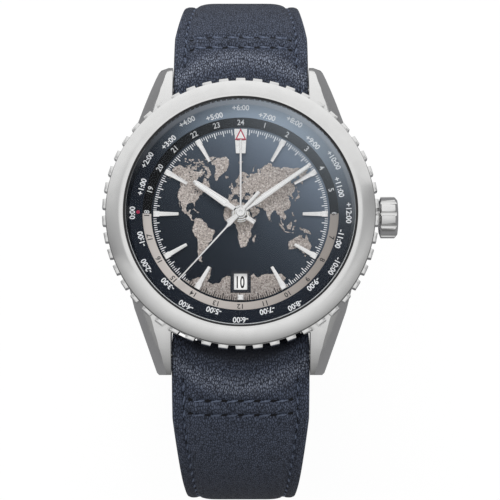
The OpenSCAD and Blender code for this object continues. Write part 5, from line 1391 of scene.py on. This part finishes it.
# the southern continent is laid out in millimetres round the date opening
southernCoast = [(-8.6, -9.68), (-7.63, -10.05), (-7.01, -9.69), (-6.3, -9.41), (-5.6, -9.5), (-5.0, -9.04),
                 (-4.69, -8.52), (-4.28, -7.95), (-4.45, -8.74), (-4.55, -9.57), (-4.9, -10.1), (-4.01, -10.48),
                 (-3.13, -10.3), (-2.68, -9.57), (-2.06, -9.22), (-1.5, -9.22)]
southernFar = [(1.5, -9.13), (1.93, -8.86), (2.4, -9.49), (3.09, -9.08), (3.97, -8.9), (4.74, -8.95), (5.4, -9.0),
               (6.02, -8.9), (6.63, -9.49), (6.35, -10.02), (6.63, -10.48), (7.0, -10.7)]


def placeOnDial(s, point):
    east, north = point
    step, pinch = s["north"] if north > 0 else s["south"]
    x = s["scale"] * (east - s["east"]) * (1 - pinch * (north / 60) ** 2)
    y = s["rise"] + step * north + s["bow"] * north * x * x + s["polar"] * max(0, north - s["polarFrom"]) ** 2
    return x + s["spread"] * max(0, x - s["spreadFrom"]) ** 2, y


def roughen(s, walk, points, closed=True):
    for step in range(s["rounds"]):
        finer = []
        for a, b in zip(points, points[1:] + points[:1] if closed else points[1:]):
            dx, dy = b[0] - a[0], b[1] - a[1]
            shift = walk.uniform(-s["rough"], s["rough"])
            finer += [a, ((a[0] + b[0]) / 2 - dy * shift, (a[1] + b[1]) / 2 + dx * shift)]
        points = finer if closed else finer + [points[-1]]
    return points


def fillOutline(name, points, z0, z1):
    curve = bpy.data.curves.new(name, "CURVE")
    curve.dimensions = "2D"
    curve.fill_mode = "BOTH"
    curve.extrude = (z1 - z0) / 2
    spline = curve.splines.new("POLY")
    spline.points.add(len(points) - 1)
    for place, (x, y) in zip(spline.points, points):
        place.co = (x, y, 0, 1)
    spline.use_cyclic_u = True
    piece = bpy.data.objects.new(name, curve)
    bpy.context.scene.collection.objects.link(piece)
    choose(piece)
    bpy.ops.object.convert(target="MESH")
    piece = bpy.context.object
    piece.data.transform(Matrix.Translation((0, 0, (z0 + z1) / 2)))
    return piece


def makeMap(s):
    walk = random.Random(s["seed"])
    z0, z1 = dialSettings["topZ"], dialSettings["topZ"] + s["thick"]
    lands = []
    for coast in coasts:
        points = roughen(s, walk, [placeOnDial(s, p) for p in coast])
        lands.append(fillOutline("land", points, z0, z1))
    # a scatter of small islands north of the western mainland, each a little lower than the one before
    for i in range(s["islands"]):
        cx, cy = walk.uniform(*s["islandX"]), walk.uniform(*s["islandY"])
        size = walk.uniform(*s["islandSize"])
        blob = [(cx + size * walk.uniform(0.6, 1.5) * math.cos(a), cy + size * walk.uniform(0.5, 1.1) * math.sin(a))
                for a in (0, 1.1, 2.2, 3.3, 4.4, 5.4)]
        lands.append(fillOutline("island", blob, z0, z1 - 0.004 - 0.0003 * i))
    rim = [tuple(onRing(s["clipR"], a)[:2]) for a in range(*s["rim"])]
    near = roughen(s, walk, southernCoast, False)
    south = near + s["dateCut"] + roughen(s, walk, southernFar, False) + rim
    lands.append(fillOutline("south", south, z0, z1))
    finishPiece(joinPieces(lands, "worldMap"), "case", mapTaupe, "world_map")
    lakes = [roughen(s, walk, [placeOnDial(s, p) for p in lake]) for lake in inlandWater]
    waters = [fillOutline("water", lake, z1 - 0.01, z1 + 0.004) for lake in lakes]
    finishPiece(joinPieces(waters, "inlandWater"), "case", waterNavy)


makeMap(mapSettings)
print("map made")


# Date: thirty-one numbers on the disc below the opening
dateSettings = {"radius": 10.05, "discTop": 6.57, "size": 1.35, "tall": 1.85, "wide": 1.42, "spacing": 1.12,
                "bold": 0.035, "depth": 0.004, "shown": 10}


def makeDateNumbers(s):
    numbers = []
    for day in range(1, 32):
        label, (x, y), (wide, tall) = makeLabel(str(day), s["size"], extrude=s["depth"], offset=s["bold"],
                                                space_character=s["spacing"], resolution_u=4)
        fit = Matrix.Diagonal((min(1.0, s["wide"] / wide), s["tall"] / tall, 1, 1)) @ Matrix.Translation((-x, -y, 0))
        place = Matrix.Translation((0, -s["radius"], s["discTop"] + s["depth"]))
        label.data.transform(clockTurn((s["shown"] - day) * 360 / 31) @ place @ fit)
        numbers.append(label)
    finishPiece(joinPieces(numbers, "dateNumbers"), "date_group", darkPrint)


makeDateNumbers(dateSettings)
print("date made")


# Floor: white to the camera, grey in the steel's reflections
floorSettings = {"z": -66.5, "size": 3000, "pale": ((0.93, 0.93, 0.93), (0.95, 0.95, 0.95)),
                 "mirrored": (0.36, 0.36, 0.37), "glow": 1.06, "seen": 0.88}


def makeFloor(s):
    floor = addPrimitive(bpy.ops.mesh.primitive_plane_add, size=s["size"] * 0.001)
    floor.name = "floor"
    floor.data.transform(Matrix.Translation((0, 0, s["z"] * 0.001)))
    material, tree, shader, coords = startFinish("floorPale", {"Roughness": 0.8, "Specular IOR Level": 0.1})
    path = addNode(tree, "ShaderNodeLightPath").outputs
    pale = blendColour(tree, noiseOf(tree, coords, 6.0, 2.0)[0], *s["pale"])
    tree.links.new(blendColour(tree, path["Is Glossy Ray"], pale, s["mirrored"]), shader.inputs["Base Color"])
    shine = addNode(tree, "ShaderNodeEmission", None, {"Strength": s["glow"]})
    mix = mixShaders(tree, calc(tree, "MULTIPLY", path["Is Camera Ray"], s["seen"]), shader, shine)
    tree.links.new(mix.outputs[0], tree.nodes["Material Output"].inputs["Surface"])
    floor.data.materials.append(material)


makeFloor(floorSettings)


# Case, crown and buckle: copies of the exact solids with their edges eased
# node: (name, body, bevel width, smallest angle that is bevelled)
easedSettings = {"case_middle": ("caseMiddle", "case", 0.07, 34), "crown": ("crownBody", "crown_group", 0.05, 34),
                 "buckle_frame": ("buckleFrame", "buckle_group", 0.12, 34),
                 "buckle_tongue": ("buckleTongue", "tongue_group", 0.12, 34)}
fluteSettings = {"hubR": 1.2, "slope": 0.4}


def shortenSlope(s, piece):
    # the crown's flutes stay long and end in a short slope beside the case
    along = [v.co.x for v in piece.data.vertices]
    inner, centre = min(along), (min(along) + max(along)) / 2
    for vertex in piece.data.vertices:
        if vertex.co.x < centre and math.hypot(vertex.co.y, vertex.co.z) > s["hubR"]:
            vertex.co.x = inner + (vertex.co.x - inner) * s["slope"]


def makeEased(s):
    for node, (name, body, width, sharp) in s.items():
        piece = copyCad(name, node)
        if node == "crown":
            shortenSlope(fluteSettings, piece)
        applyModifier(piece, "BEVEL", width=width, segments=2, limit_method="ANGLE", angle_limit=math.radians(sharp),
                      use_clamp_overlap=True, miter_outer="MITER_ARC", loop_slide=True)
        finishPiece(piece, body, polishedSteel, node, 32)


makeEased(easedSettings)
print("case, crown and buckle made")

# Finishes of the CAD nodes that stay as they are
cadFinishes = {
    satinSteel: ["case_back", "crown_tube", "spring_bars", "casing_ring", "buckle_bar", "rotor_bearing", "pallet_fork",
                 "winding_stem", "click_spring", "ratchet_wheel", "cannon_pinion", "main_plate", "barrel_bridge",
                 "train_bridge", "balance_cock", "rotor"],
    blackRubber: ["back_gasket", "bezel_gasket", "crystal_gasket", "crown_gasket"],
    dialNavy: ["dial"],
    frameDark: ["date_frame"],
    cityRing: ["city_ring"],
    hourRing: ["hour_24_ring"],
    dateWhite: ["date_disc"],
    brass: ["barrel", "centre_wheel", "third_wheel", "fourth_wheel", "escape_wheel", "balance_wheel", "minute_wheel",
            "hour_wheel", "gmt_wheel", "winding_pinion"],
    bluedSteel: ["bridge_screws", "hairspring"],
    backGlass: ["back_window"],
    ruby: ["jewels"],
}
for finish, names in cadFinishes.items():
    for name in names:
        cadNodes[name].data.materials.clear()
        cadNodes[name].data.materials.append(finish)
